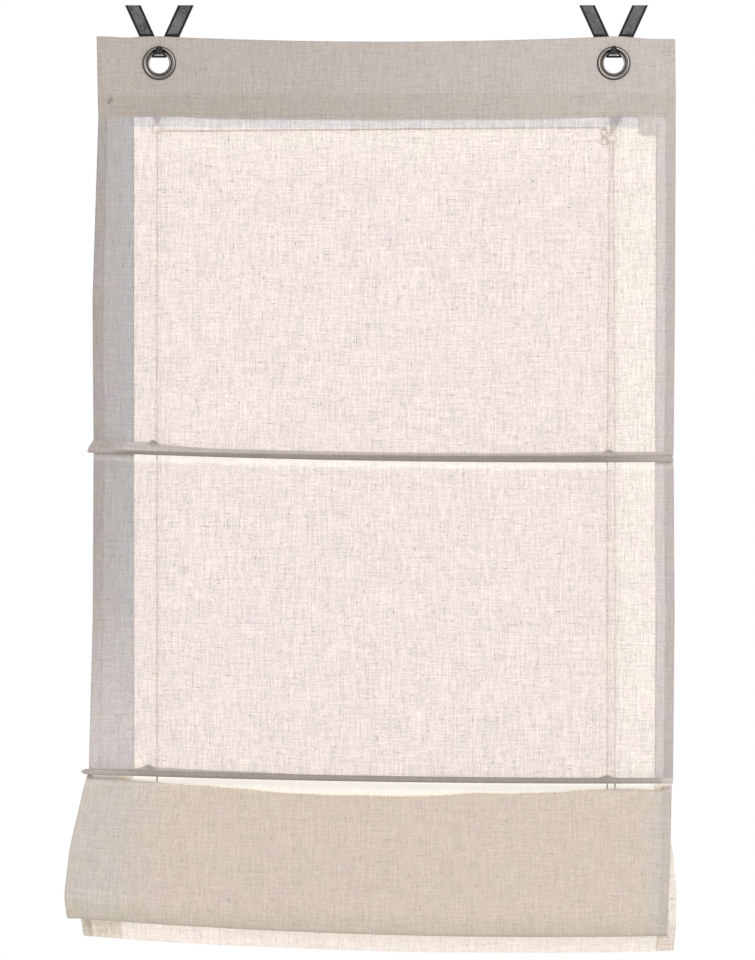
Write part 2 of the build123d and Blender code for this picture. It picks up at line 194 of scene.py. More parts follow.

# Hooks, with the insets and heights between which painted shade darkens the steel or a painted highlight
# brightens it
hook_lean = 24.5
strip_half = 7.5
strip_border = (3.0, 2.0)
strip_foot = (3.4, 2.4)
tongue_front = -1.5
tongue_foot = 7.2
tongue_taper = 0.573
tongue_border = (2.5, 1.5)
tongue_shade = 0.62
lip_heights = (7.5, 7.2)
bend_heights = (7.4, 7.7, 8.6, 9.0)

# Header tape and ribbon tabs; a tab has its ring's place and drop, its half width and its shift to the right
tape_left = -291
tape_right = 300
tape_depth = 1.65
tape_middle = -45.8
tape_half = 10.5
tape_thickness = 0.9
tape_steps = 120
tape_columns = 9
tape_waves = [(0.35, 31, 0), (0.25, 12, 1)]
tape_inset = 0.4
tape_wave_share = 0.25
band_column_width = 2.5
ribbon_thickness = 0.5
left_tab = (-240, 68, 4.75, 0)
right_tab = (235, 79, 6.5, 4)
tab_columns = 13
tab_runs = [24, 1, 24]
tab_top = -42.3
tab_narrows = -56.3
tab_depth = 2.4
tab_back = 5.4
tab_over = 2.95
tab_foot_half = 1.5
tab_bend = 1.35

# Cords, knots and sewing
cord_diameter = 1.8
cord_depth = 9.2
cross_depth = 1.5
pull_cord_place = 239
pull_cord_foot = -850
bight_height = -81.34
knot_place = 227.2
knot_height = -77
knot_depth = 2.1
knot_swing = 3.9
knot_over = 0.92
knot_rise = 8
knot_steps = 120
end_knot_size = 0.69
end_knot_drop = 4.5
end_knot_rise = 3.6
end_knot_steps = 160
header_sewing = -33.4
tape_sewing = -53.8
bottom_sewing = 2.5
strip_sewing = 1
hem_sewing = 1.5
stitch_length = 2.7
stitch_pitch = 3.7
stitch_rise = 0.16
stitch_sink = 1.3
stitch_steps = 5
thread_radius = 0.2
thread_sides = 6
ring_lift = 5
ring_thread_depth = 1.16
ring_thread_reach = 1.18
ring_thread_rise = 1.16
ring_thread_pitch = 0.9
ring_thread_steps = 24

# Colours of the finished pieces, as 0 to 255 display values
# Linen tones hold painted light and shade: single linen painted bright as lit from behind, doubled linen
# darker
LIT_LINEN = (237, 224, 219)
LIT_WARM = (243, 233, 223)
HEADER_LEFT = (192, 182, 175)
HEADER_RIGHT = (202, 193, 187)
BAND_LEFT = (185, 175, 166)
BAND_RIGHT = (199, 189, 180)
GLOW_BAND = (222, 217, 217)
HEM_STRIP = (178, 171, 167)
HEM = (190, 184, 182)
HEM_COOL = (190, 187, 187)
HEM_LOW = (216, 207, 205)
NARROW_HEM = (217, 207, 204)
NARROW_STRIP = (197, 187, 183)
TUCK = (208, 198, 192)
TUCK_SHADE = (153, 144, 138)
MIDDLE_TUCK_SHADE = (165, 156, 150)
TUCK_RIGHT = (184, 175, 169)
TUCK_END = (186, 175, 171)
PUCKER = (158, 150, 142)
GLOW = (255, 240, 204)
LOOP = (220, 205, 191)
LOOP_SIDE = (211, 202, 193)
LOOP_FOOT = (206, 195, 179)
FLAP = (243, 231, 220)
FLAP_SIDE = (240, 233, 223)
BACK = (221, 211, 204)
LOOP_EDGE = (203, 192, 183)
FLAP_EDGE = (224, 219, 207)
UNDER_TUCK = (246, 238, 231)
PUFF = (252, 243, 228)
CORNER_SHADE = (212, 204, 200)
SEAM_MARK = (126, 116, 108)
# An eyelet's dark tone is patina in its groove and painted shade at its rim and in its bore
NICKEL = (122, 117, 112)
NICKEL_DARK = (58, 53, 50)
STEEL = (94, 94, 94)
STEEL_EDGE_SHADE = (20, 20, 20)
STEEL_HIGHLIGHT = (190, 190, 188)
TAPE = (214, 206, 198)
RIBBON = (206, 206, 200)
CORD = (214, 205, 198)
CORD_SHADE = (150, 141, 134)
THREAD = (206, 196, 188)
RING = (226, 223, 217)
ROD = (223, 219, 208)

# Cover of one face of the cloth: 1 is closed, and less lets what is behind show
LIT_COVER = 0.54
FLAP_COVER = 0.36
FLAP_HEM_COVER = 0.47
FLAP_STRIP_COVER = 0.2
LIGHT_BAND_COVER = 0.62
GLOW_COVER = 0.17
UNDER_COVER = 0.24
BACK_LAYER_COVER = 0.2
THROUGH_SHARE = 0.95

# Where tones change on the cloth: pairs run from none to full, over places across, heights or distances
tone_ease = 0.6
hem_lap = 1
warm_right = (232, 242)
warm_right_share = 0.9
warm_top = (-125, -68)
warm_top_share = 0.6
hem_cool = (20, 30)
hem_low = (-480, -755)
corner_shade_foot = -73.5
corner_shade_reach = 38
seam_mark_place = -289
seam_mark_height = -38.9
seam_mark_lean = 0.55
seam_mark_half = 2.2
seam_mark_tall = 5.4
seam_mark_share = 0.8
tuck_right = (90, 10)
tuck_turn = 0.9
tuck_tip = (11, 7)
tuck_tip_slope = 1.6
peak_half = 5
peak_rise = (2.5, 5)
peak_share = 0.85
upper_light = (-15.5, -8.5)
upper_light_share = 0.75
upper_light_loss = 0.45
loop_left = (20, 90)
loop_right = (12, 30)
loop_foot = (26, 2)
loop_edge_share = 0.8
glow_waves = [(0.4, 19, 0), (0.2, 9, 1)]
glow_ease = 1.6
glow_left = (27, 33)
glow_right = (6, 13)
under_light = (-14, -6)
under_left = (-1, 3)
under_open = (-8.6, -5.6)
under_share = 0.9
under_hem_loss = 0.18
flap_left = (24, 60)
flap_right = (14, 40)

# Painted light spots over the middle tuck: place across, rise over the tuck, half width and half height
puffs = [(-259, 13, 8, 9), (225, 9, 8, 5)]
puff_share = 0.9

# Weave: shares of the long weft and warp threads in its streaks, the rest being short grain, and two casts
weft_share = 0.72
warp_share = 0.93
cool_cast = (1.01, 0.993, 1.014)
warm_cast = (0.996, 1.004, 0.966)

# Noises of the weave in changes to a metre: long and short way of each streak and its start, grain and slubs
streak_noises = [(23, 760, 0.0), (41, 1010, 5.3), (67, 620, 11.9)]
grain_scale = (720, 420, 1)
slub_scales = [(90, 800, 1), (800, 90, 2)]
slub_ends = (0.66, 0.78)
cloud_scale = (38, 38, 1)

# Strength of streaks and slubs where the cloth is open and where it is closed, and depths of relief
open_cover = 0.5
streak_strength = (1.35, 0.85)
slub_strength = (0.5, 0.3)
linen_relief = 0.12
band_relief = 0.15
cord_relief = 0.15


def linear(colour):
    """A display colour as linear light: each channel follows the display's power curve."""
    share = np.asarray(colour, float) / 255
    return np.where(share <= 0.04045, share / 12.92, ((share + 0.055) / 1.055) ** 2.4)


def step(value, low, high):
    """From 0 at low to 1 at high, easing in and out."""
    t = np.clip((value - low) / (high - low), 0, 1)
    return t * t * (3 - 2 * t)


def waves(x, table):
    """Sine waves of x added up, each with its height, its length over two pi and its start."""
    return sum(height * np.sin(x / length + start) for height, length, start in table)


def smooth(values):
    """Each value averaged with its neighbours to both sides, with the ends held."""
    count = 2 * smooth_reach + 1
    return np.convolve(np.pad(values, smooth_reach, mode="edge"), np.ones(count) / count, mode="valid")


def in_tuck(rows, first_run):
    """Marks the rows of a tuck and of its bends, by the first of its three runs."""
    return (rows > first_run - 1) & (rows < first_run + 3)


def mix(first, second, share):
    """first where share is 0 and second where it is 1, for colours on a grid."""
    return first + (second - first) * np.asarray(share)[..., None]


def add_mesh(name, points, closed_rows=False, closed_columns=False, caps=False, keep=None, uv=None):
    """A mesh of four-sided faces on a grid of points, or on a stack of such grids, in millimetres.

    A grid may close on itself along its rows or columns, caps closes the ends of a tube, keep marks the
    faces that stay, and uv gives a flat place in metres for each point. A closed shape is turned the right
    way out: the sum of its faces' cones from its middle is its volume, which has to be above zero.
    """
    rows, columns = points.shape[-3:-1]
    index = np.arange(points.size // 3).reshape(-1, rows, columns)
    ends = np.concatenate([index[:, 0, ::-1], index[:, -1]]) if caps else np.zeros((0, columns), int)
    if closed_rows:
        index = np.concatenate([index, index[:, :1]], 1)
    if closed_columns:
        index = np.concatenate([index, index[:, :, :1]], 2)
    corners = [index[:, :-1, :-1], index[:, :-1, 1:], index[:, 1:, 1:], index[:, 1:, :-1]]
    quads = np.stack(corners, -1).reshape(-1, 4)
    if keep is not None:
        quads = quads[keep.ravel()]
    places = points.reshape(-1, 3)
    if closed_columns:
        a, b, c, d = (places[quads[:, i]] - places.mean(0) for i in range(4))
        if (a * np.cross(b, c) + a * np.cross(c, d)).sum() < 0:
            quads, ends = quads[:, ::-1], ends[:, ::-1]
    loops = np.concatenate([quads.ravel(), ends.ravel()])
    used, corners = np.unique(loops, return_inverse=True)
    faces = corners[:quads.size].reshape(-1, 4).tolist() + corners[quads.size:].reshape(ends.shape).tolist()
    mesh = bpy.data.meshes.new(name)
    mesh.from_pydata(places[used] * MM, [], faces)
    if uv is not None:
        layer = mesh.uv_layers.new(name="flat")
        layer.uv.foreach_set("vector", uv.reshape(-1, 2)[loops].astype(np.float32).ravel())
    mesh.shade_smooth()
    piece = bpy.data.objects.new(name, mesh)
    bpy.context.scene.collection.objects.link(piece)
    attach(piece, "root")
    return piece, used


def across(x, drop, left_rise, right_rise):
    """Height of a line across the cloth: a parabola through its left end, middle and right end."""
    s = np.clip(x / half_width, -line_end_share, line_end_share)
    return (right_rise - left_rise) / 2 * s + (right_rise + left_rise) / 2 * s * s - drop


def upper_line(x):
    """Height of the upper tuck."""
    return across(x, *upper_tuck_line)


def middle_line(x):
    """Height of the middle tuck."""
    return across(x, *middle_tuck_line)


def upper_pucker(x):
    """Rise of the cloth over the upper tuck, straight between the listed places."""
    return np.interp(x, upper_pucker_places, upper_pucker_rises)


def middle_pucker(x):
    """Rise of the cloth over the middle tuck, straight between the listed places."""
    return np.interp(x, middle_pucker_places, middle_pucker_rises)


def lower_line(x):
    """Height of the lower tuck, hidden behind the loop."""
    return across(x, *lower_tuck_line)


def loop_line(x):
    """Height of the loop's foot."""
    return across(x, *loop_foot_line)


def glow_line(x):
    """Height down to which painted light shows through the loop's shoulder: the lower tuck's plus the listed
    rise.
    """
    return lower_line(x) + np.interp(x, glow_places, glow_rises)


def flap_line(x):
    """Height of the bottom hem."""
    return across(x, *flap_foot_line)


def header_line(x):
    """Height of the header's top, which sags between the eyelets."""
    s = np.minimum(np.abs(x) / eyelet_place, 1)
    right_drop = header_right_drop * step(x, *header_right_end)
    dip = header_dip * np.exp(-((x - header_dip_place) / header_dip_reach) ** 2)
    return header_rise - header_sag * (1 - s * s) - right_drop - dip


def band_line(x):
    """Height of the foot of the band under the header's seam, which sags with the header."""
    s = np.minimum(np.abs(x) / eyelet_place, 1)
    drawn_up = band_rise * np.exp(-((np.abs(x) - eyelet_place) / band_rise_reach) ** 2)
    return -band_drop - band_sag * (1 - s * s) + drawn_up


def cloth_columns():
    """Places across the flat sheet: the left hem, round its fold, over the front and round the right hem.

    Gives for each column its place in X, its depth behind the front layer and its distance across the sheet.
    """
    edges = [hem_strip - half_width, left_hem - half_width, half_width - right_hem, half_width - hem_strip]
    marks = [edge + side * tone_ease for edge in edges for side in (-1, 1)]
    round_hole = np.arange(-hole_reach, hole_reach + hole_pitch / 2, hole_pitch)
    holes = [side * eyelet_place + off for side in (-1, 1) for off in round_hole]
    plain = np.linspace(edge_clear - half_width, half_width - edge_clear, plain_columns)
    plain = plain[np.abs(np.abs(plain) - eyelet_place) > hole_clear]
    front = np.sort(np.concatenate([plain, marks, holes, np.arange(*seam_mark_columns)]))
    front = front[np.diff(front, prepend=-half_width) > narrowest_column]
    radius = hem_spacing / 2
    turn = np.radians(fold_turns)
    left = np.linspace(left_hem, edge_clear, left_hem_columns) - half_width
    right = half_width - np.linspace(edge_clear, right_hem, right_hem_columns)
    place = np.concatenate([
        left,
        -half_width - radius * np.sin(turn),
        front,
        half_width + radius * np.sin(turn),
        right,
    ])
    fold = radius * (1 - np.cos(turn))
    depth = np.concatenate([
        np.full(left.size, hem_spacing),
        fold,
        np.zeros(front.size),
        fold[::-1],
        np.full(right.size, hem_spacing),
    ])
    across_flat = np.concatenate([[0], np.cumsum(np.hypot(np.diff(place), np.diff(depth)))])
    return place, depth, across_flat


def tuck_corners(neck_y, neck_z, way):
    """Corners of a pocket sewn round a rod, as pairs of depth and height: neck, two front corners, neck."""
    spread = math.asin(tuck_radius / math.hypot(tuck_reach, neck_half)) - math.atan2(neck_half, tuck_reach)
    front = tuck_reach + tuck_radius
    front_half = neck_half + front * math.tan(spread)
    turn = math.radians(way)
    local = [(0, -neck_half), (front, -front_half), (front, front_half), (0, neck_half)]
    return [
        (neck_y + a * math.cos(turn) - b * math.sin(turn), neck_z + a * math.sin(turn) + b * math.cos(turn))
        for a, b in local
    ]


def bent_rows(corners, bends, runs, closer=(), arc_steps=5):
    """Rows of points along straight runs joined by round arcs.

    corners holds one row of points for each corner, bends the radius at each inner corner and runs the
    number of points on each run. closer gives some runs the power by which their rows close up towards
    the start. An arc is the rational curve of its two ends and its corner, weighted by the cosine of half
    the turn, so it is round. Gives the rows, and for each the number of its run, or that and a half on
    the arc after it.
    """
    powers = dict(closer)
    ways = np.diff(corners, axis=0)
    ways = ways / np.linalg.norm(ways, axis=-1, keepdims=True)
    half_cos = np.sqrt((1 + np.clip((ways[:-1] * ways[1:]).sum(-1, keepdims=True), -1, 1)) / 2)
    reach = np.asarray(bends, float)[:, None, None] * np.sqrt(1 / half_cos**2 - 1)
    arc_in = corners[1:-1] - ways[:-1] * reach
    arc_out = corners[1:-1] + ways[1:] * reach
    starts = np.concatenate([corners[:1], arc_out])
    ends = np.concatenate([arc_in, corners[-1:]])
    rows, zones = [], []
    for i, count in enumerate(runs):
        t = np.linspace(0, 1, count + 1)[:, None, None] ** powers.get(i, 1)
        rows.append(starts[i] + (ends[i] - starts[i]) * t)
        zones += [i] * (count + 1)
        if i < len(bends) and bends[i] > 0:
            t = np.linspace(0, 1, arc_steps + 1)[1:-1, None, None]
            weight = 2 * t * (1 - t) * half_cos[i]
            curve = (1 - t) ** 2 * arc_in[i] + weight * corners[i + 1] + t**2 * arc_out[i]
            rows.append(curve / ((1 - t) ** 2 + weight + t**2))
            zones += [i + 0.5] * (arc_steps - 1)
        elif i < len(bends):
            rows[-1] = rows[-1][:-1]
            zones.pop()
    return np.concatenate(rows), np.array(zones)


def cloth_points(place):
    """The folded sheet, in rows from the header's hem over the top, down the front and up to the bottom hem.

    Each corner of its profile has a depth, a height, and how far the left and the right edge stand out.
    """

    def corner(depth, height, left, right, pull=hem_pull):
        x = place + left * np.clip((pull - half_width - place) / pull, 0, 1)
        x = x + right * np.clip((place - half_width + pull) / pull, 0, 1)
        z = height(x) if callable(height) else np.full(x.shape, float(height))
        return np.stack([x, np.full(x.shape, float(depth)), z], -1)

    def above(line, rise, pucker=None):
        return lambda x: line(x) + rise + (pucker(x) if pucker else 0)

    def between(first, second, share):
        return lambda x: first(x) + (second(x) - first(x)) * share

    def tuck(pocket, line, pucker, edges):
        rises = [pucker, None, None, None]
        return [corner(y, above(line, z, rise), *edge) for (y, z), edge, rise in zip(pocket, edges, rises)]

    upper_shift = neck_half * math.sin(math.radians(upper_droop))
    upper = tuck_corners(upper_shift, 0, 180 + upper_droop)
    middle = tuck_corners(0, 0, 180)
    neck_y = -2 * turn_radius - neck_half
    lower = tuck_corners(neck_y, -turn_radius, 270)
    rising = neck_y - neck_half - 2 * turn_radius

    corners = [
        corner(layer_spacing, -seam_drop, -1.2, 1.9),
        corner(layer_spacing, header_line, -2.4, 1.1),
        corner(0, header_line, -2.4, 1.1),
        corner(0, -seam_drop, -1.2, 1.9),
        corner(0, band_line, -0.6, 1.6),
        corner(0, -light_band_drop, -1, 1.8),
        corner(0, upper_panel_middle, -6.7, 1),
        *tuck(upper, upper_line, upper_pucker, upper_tuck_edges),
        corner(0, lower_panel_middle, -6.4, 0.6),
        *tuck(middle, middle_line, middle_pucker, middle_tuck_edges),
        corner(0, above(middle_line, -shoulder_drop), -12.5, -2),
        corner(-shoulder_reach, above(middle_line, -shoulder_foot), -14, -3, loop_pull),
        corner(-loop_reach, between(middle_line, loop_line, share=0.5), -29, -5, loop_pull),
        corner(-loop_reach + loop_low_back, above(loop_line, loop_low_rise), -35.5, -7.2, loop_pull),
        corner(-loop_foot_reach, loop_line, -32.5, -8, loop_pull),
        corner(loop_depth - loop_foot_reach, loop_line, -30, -8, loop_pull),
        corner(rising, lower_line, -12, -7, loop_pull),
        corner(rising + 2 * turn_radius, lower_line, -10, -7, loop_pull),
        *[corner(y, above(lower_line, z), -9, -8, loop_pull) for y, z in lower[1:3]],
        corner(-2 * turn_radius, lower_line, -10, -7, loop_pull),
        corner(0, lower_line, -10, -7, loop_pull),
    ]
    for share, left, right in flap_edges:
        corners.append(corner(0, between(lower_line, flap_line, share), left, right, loop_pull))
    corners += [
        corner(0, flap_line, -16, -0.6, loop_pull),
        corner(layer_spacing, flap_line, -16, -0.6, loop_pull),
        corner(layer_spacing, above(flap_line, bottom_hem), -19.5, 1.8, loop_pull),
    ]
    fold = neck_half * bend_share
    turn = turn_radius * turn_share
    round_rod = [tuck_radius * bend_share] * 2
    round_tuck = [tuck_bend, *round_rod, tuck_bend]
    bends = [fold, fold, 0, 0, 0, 0] + round_tuck + [0] + round_tuck
    bends += [tuck_bend, shoulder_bend, belly_bend, belly_bend, loop_bend, loop_bend]
    bends += [turn, turn] + round_rod + [turn, turn, 0, 0, 0, 0, fold, fold]
    points, zone = bent_rows(np.stack(corners), bends, profile_runs, closer_rows)

    # The tip of each tuck tapers: the rows above and below its point stop short of it.
    outer = np.clip((tip_length - half_width - place) / tip_length, 0, 1)
    tips = (
        (upper_line, upper_tuck_run, upper_tip_height, upper_tip_top_taper),
        (middle_line, middle_tuck_run, 0, tip_taper),
    )
    for line, first_run, tip, top_taper in tips:
        rows = in_tuck(zone, first_run)
        off = points[rows, :, 2] - line(points[rows, :, 0]) - tip
        forward = np.clip(-points[rows, :, 1] / tuck_reach, 0, 1)
        taper = np.where(off > 0, top_taper, tip_taper)
        taper = taper * np.minimum((off / tuck_radius) ** 2, tip_taper_limit)
        points[rows, :, 0] += taper * outer * forward
    return points, zone


def wrinkle(x, along):
    """Soft unevenness of hung linen: a few long waves that cross at different slants, added up."""
    return sum(
        height * np.sin(x / wide + along / long + start) for height, wide, long, start in wrinkle_waves
    )


def cloth_tone(place, points, zone, depth):
    """Colour and cover of the sheet, with light and shade painted into the colour: single linen is painted
    bright as lit from behind and lets light through, doubled linen is painted darker as shade and is closed.

    Each stretch of the sheet has its own colour, and neighbours blend over the width of a fold.
    """
    x, z = points[..., 0], points[..., 2]
    rows = np.broadcast_to(zone[:, None], x.shape)
    from_left = np.broadcast_to(place + half_width, x.shape)
    from_right = np.broadcast_to(half_width - place, x.shape)

    def within(distance, width):
        return step(distance, width + tone_ease, width - tone_ease)

    def paint(area, colour, closed):
        nonlocal tone, cover
        tone = np.where(area[..., None], colour, tone)
        cover = np.where(area, closed, cover)

    in_hem = within(from_left, left_hem)
    in_strip = within(from_left, hem_strip)
    in_narrow = within(from_right, right_hem)
    in_narrow_strip = within(from_right, hem_strip)
    closed_side = np.maximum(in_hem, in_narrow)

    # Single linen in painted light, lighter and warmer at the right and at the top; side hems in painted
    # shade, as doubled linen not lit from behind, darkest in the outer strips, cooler further in and lighter
    # lower down
    tone = mix(linear(LIT_LINEN), linear(LIT_WARM), warm_right_share * step(x, *warm_right))
    tone = mix(tone, linear(LIT_WARM), warm_top_share * step(z, *warm_top))
    hem = mix(linear(HEM), linear(HEM_COOL), step(from_left, *hem_cool))
    hem = mix(hem, linear(HEM_STRIP), in_strip)
    hem = mix(hem, linear(HEM_LOW), step(z, *hem_low))
    narrow = mix(linear(NARROW_HEM), linear(NARROW_STRIP), in_narrow_strip)
    tone = mix(mix(tone, hem, in_hem), narrow, in_narrow)
    cover = LIT_COVER + (1 - LIT_COVER) * closed_side

    # Header and its band in painted shade, lighter towards the right, the light band under that in painted
    # light, painted shade at the top right corner and a small dark mark at the left end of the seam
    inner = (from_left > left_hem - hem_lap) & (from_right > right_hem + hem_lap)
    paint((rows == light_band_run) & inner, linear(GLOW_BAND), LIGHT_BAND_COVER)
    side = step(x, -half_width, half_width)
    paint(rows == band_run, mix(linear(BAND_LEFT), linear(BAND_RIGHT), side), 1)
    paint(rows <= header_run, mix(linear(HEADER_LEFT), linear(HEADER_RIGHT), side), 1)
    # Painted shade at the top right of the panel, in from the narrow hem
    corner_shade = (from_right > right_hem - hem_lap) & (from_right < corner_shade_reach) & (z > corner_shade_foot)
    paint(corner_shade & (rows >= light_band_run), linear(CORNER_SHADE), 1)
    # A small dark slanted mark just under the left end of the header's seam
    seam_mark_x = (x - seam_mark_place - seam_mark_lean * (z - seam_mark_height)) / seam_mark_half
    seam_mark = step(np.hypot(seam_mark_x, (z - seam_mark_height) / seam_mark_tall), 1, 0.5)
    tone = mix(tone, linear(SEAM_MARK), seam_mark_share * seam_mark)

    # Painted light: bright spots over the middle tuck
    for centre, rise, wide, tall in puffs:
        puff = np.exp(-((x - centre) / wide) ** 2 - ((z - middle_line(x) - rise) / tall) ** 2)
        puff = puff * (rows == lower_panel_foot_run)
        tone = mix(tone, linear(PUFF), puff_share * puff * (1 - in_hem))

    # Tucks with painted light and shade: a light upper face and a lower face in painted shade, lighter to the
    # right, an even tone at the left tip, painted shade on the peaks where cords draw the rings up, and the
    # middle tuck's right tip painted in the narrow hem's tone. Columns: run, height and tilt of the turn to
    # the upper face, end of the left tip, lower face and peaks
    tucks = (
        (upper_line, upper_tuck_run, 0.6, 2, (14, 30), TUCK_SHADE, (-243, 233)),
        (middle_line, middle_tuck_run, 3.6, 0, (22, 48), MIDDLE_TUCK_SHADE, (-247, 231)),
    )
    for line, first_run, rise, tilt, left_tip, lower_face, peaks in tucks:
        off = z - line(x)
        shade = mix(linear(lower_face), linear(TUCK_RIGHT), step(from_right, *tuck_right))
        shade = mix(shade, linear(TUCK), step(off - rise - tilt * x / half_width, -tuck_turn, tuck_turn))
        shade = mix(linear(TUCK_END), shade, step(from_left, *left_tip))
        for peak in peaks:
            drawn_up = np.exp(-((x - peak) / peak_half) ** 2) * step(off, *peak_rise)
            shade = mix(shade, linear(PUCKER), peak_share * drawn_up)
        if line is middle_line:
            shade = mix(shade, linear(NARROW_HEM), step(from_right - tuck_tip_slope * np.abs(off), *tuck_tip))
        paint(in_tuck(rows, first_run), shade, 1)

    # Painted light under the upper tuck, where the single linen is also opened
    below = upper_light_share * step(z - upper_line(x), *upper_light) * (rows == lower_panel_run)
    light = mix(linear(PUFF), linear(UNDER_TUCK), closed_side)
    tone = mix(tone, light, below * (1 - upper_light_loss * closed_side))
    cover = cover + (UNDER_COVER - cover) * below * (1 - closed_side)

    # Loop in painted shade, greyer at its sides, darker at its foot and by the narrow hem's strip; painted
    # light under the middle tuck and through the loop's shoulder, where the single linen is opened
    shade = mix(linear(LOOP_SIDE), linear(LOOP), step(from_left, *loop_left) * step(from_right, *loop_right))
    shade = mix(shade, linear(LOOP_FOOT), loop_edge_share * step(z - loop_line(x), *loop_foot))
    shade = mix(shade, linear(LOOP_EDGE), loop_edge_share * in_narrow_strip)
    single = step(z - glow_line(x) + waves(x, glow_waves), -glow_ease, glow_ease)
    single = single * step(from_left, *glow_left) * step(from_right, *glow_right)
    under = step(z - middle_line(x), *under_light) * step(from_left, *under_left)
    open_under = under * step(z - middle_line(x), *under_open)
    shade = mix(mix(shade, linear(UNDER_TUCK), under), linear(GLOW), single)
    in_loop = (rows > middle_tuck_run + 2) & (rows < rising_run)
    lit = np.maximum(single, (under_share - under_hem_loss * in_hem) * open_under) * in_loop
    paint(in_loop, shade, 1 - (1 - GLOW_COVER) * lit)

    # Flap in painted light, as single linen lit from behind, with a darker outer strip on the left, and the
    # back of the hems
    shade = mix(linear(FLAP_SIDE), linear(FLAP), step(from_left, *flap_left) * step(from_right, *flap_right))
    shade = mix(shade, linear(FLAP_EDGE), in_strip)
    closed = FLAP_COVER + (FLAP_HEM_COVER - FLAP_COVER) * closed_side + FLAP_STRIP_COVER * in_strip
    paint(rows >= rising_run, shade, closed)
    paint(rows >= bottom_fold_run, linear(FLAP), BACK_LAYER_COVER)
    hidden = np.broadcast_to(depth > hem_spacing / 2, x.shape)
    paint(hidden & (rows >= rising_run), linear(FLAP), BACK_LAYER_COVER)
    paint(hidden & (rows < rising_run), linear(BACK), 1 - (1 - BACK_LAYER_COVER) * lit)
    return tone, cover


def make_cloth():
    """The sheet: a folded profile carried across, with its sides turned back and the eyelets' holes cut."""
    place, depth, across_flat = cloth_columns()
    points, zone = cloth_points(place)
    middle = points.shape[1] // 2
    run = np.linalg.norm(np.diff(points[:, middle], axis=0), axis=-1)
    along = np.concatenate([[0], np.cumsum(run)])

    ways = np.gradient(points[..., 1:], axis=0)
    ways = ways / np.linalg.norm(ways, axis=-1, keepdims=True)
    back = np.stack([-ways[..., 1], ways[..., 0]], -1)
    loose = np.zeros(zone.shape)
    for first, after, amount in loose_stretches:
        loose[(zone >= first) & (zone < after)] = amount
    spread = np.where(zone > flap_run, flap_hem_spread, 1.0)
    for first_run in (upper_tuck_run, middle_tuck_run, lower_tuck_run):
        spread[in_tuck(zone, first_run)] = tuck_hem_spread
    push = smooth(loose)[:, None] * wrinkle(points[..., 0], along[:, None]) + smooth(spread)[:, None] * depth
    points[..., 1:] += back * push[..., None]

    tone, cover = cloth_tone(place, points, zone, depth)
    centre = (points[:-1, :-1] + points[1:, 1:]) / 2
    off = np.hypot(np.abs(centre[..., 0]) - eyelet_place, centre[..., 2])
    uv = np.stack(np.broadcast_arrays(across_flat[None, :], along[:, None]), -1) * MM
    piece, used = add_mesh("linen_sheet", points, keep=off > eyelet_hole, uv=uv)
    values = np.concatenate([tone, cover[..., None]], -1).reshape(-1, 4)[used]
    attribute = piece.data.attributes.new("tone", "FLOAT_COLOR", "POINT")
    attribute.data.foreach_set("color", values.astype(np.float32).ravel())
    shell = piece.modifiers.new("thickness", "SOLIDIFY")
    shell.thickness = cloth_thickness * MM
    shell.offset = 0
    return piece, (across_flat[-1] * MM, along[-1] * MM), (place, points, zone)


linen_sheet, flat_size, cloth = make_cloth()
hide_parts("blind_cloth")


# Fittings, cords and sewing
def unit(vectors):
    """Vectors made one long."""
    return vectors / np.linalg.norm(vectors, axis=-1, keepdims=True)


def make_eyelet(name, place):
    """A pressed ring: a bent line with half the sheet's thickness to both sides, turned round an axis."""
    corners = np.array(eyelet_section, float)[:, None]
    line, _ = bent_rows(corners, eyelet_bends, eyelet_runs, arc_steps=eyelet_arc_steps)
    way = unit(np.gradient(line[:, 0], axis=0))
    side = np.stack([-way[:, 1], way[:, 0]], -1) * eyelet_sheet / 2
    section = np.concatenate([line[:, 0] + side, (line[:, 0] - side)[::-1]])
    radius, depth = section[:, :1], section[:, 1:]
    turn = np.linspace(0, 2 * math.pi, eyelet_steps, endpoint=False)
    points = np.broadcast_arrays(place + radius * np.cos(turn), depth, radius * np.sin(turn))
    piece, _ = add_mesh(name, np.stack(points, -1), closed_rows=True, closed_columns=True)
    return piece


def strip_points(path, across_way, half, out, thickness, columns):
    """A flat strip: at each point of a path a thin section, half to both sides and thick along out."""
    share = np.linspace(-1, 1, columns)
    u = np.concatenate([share, share[::-1]])[:, None]
    v = np.repeat([0.5, -0.5], columns)[:, None] * thickness
    return path[:, None] + half[:, None, None] * np.asarray(across_way) * u + out[:, None] * v


def flat_places(path, columns):
    """Places in metres on a strip that is laid flat: along its path, and across by its columns."""
    along = np.concatenate([[0], np.cumsum(np.linalg.norm(np.diff(path, axis=0), axis=-1))])
    over = np.concatenate([np.arange(columns), np.arange(columns)[::-1]])
    return np.stack(np.broadcast_arrays(along[:, None], over[None, :] * band_column_width), -1) * MM


def make_tape():
    """The woven tape behind the cloth: a flat strip along X whose edges wave a little."""
    x = np.linspace(tape_left, tape_right, tape_steps)
    half = tape_half - tape_inset + tape_wave_share * waves(x, tape_waves)
    path = np.stack([x, np.full(x.size, tape_depth), np.full(x.size, tape_middle)], -1)
    out = np.tile([0.0, 1.0, 0.0], (x.size, 1))
    points = strip_points(path, (0, 0, 1), half, out, tape_thickness, tape_columns)
    uv = flat_places(path, tape_columns)
    piece, _ = add_mesh("woven_tape", points, closed_columns=True, caps=True, uv=uv)
    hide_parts("header_tape")
    return piece


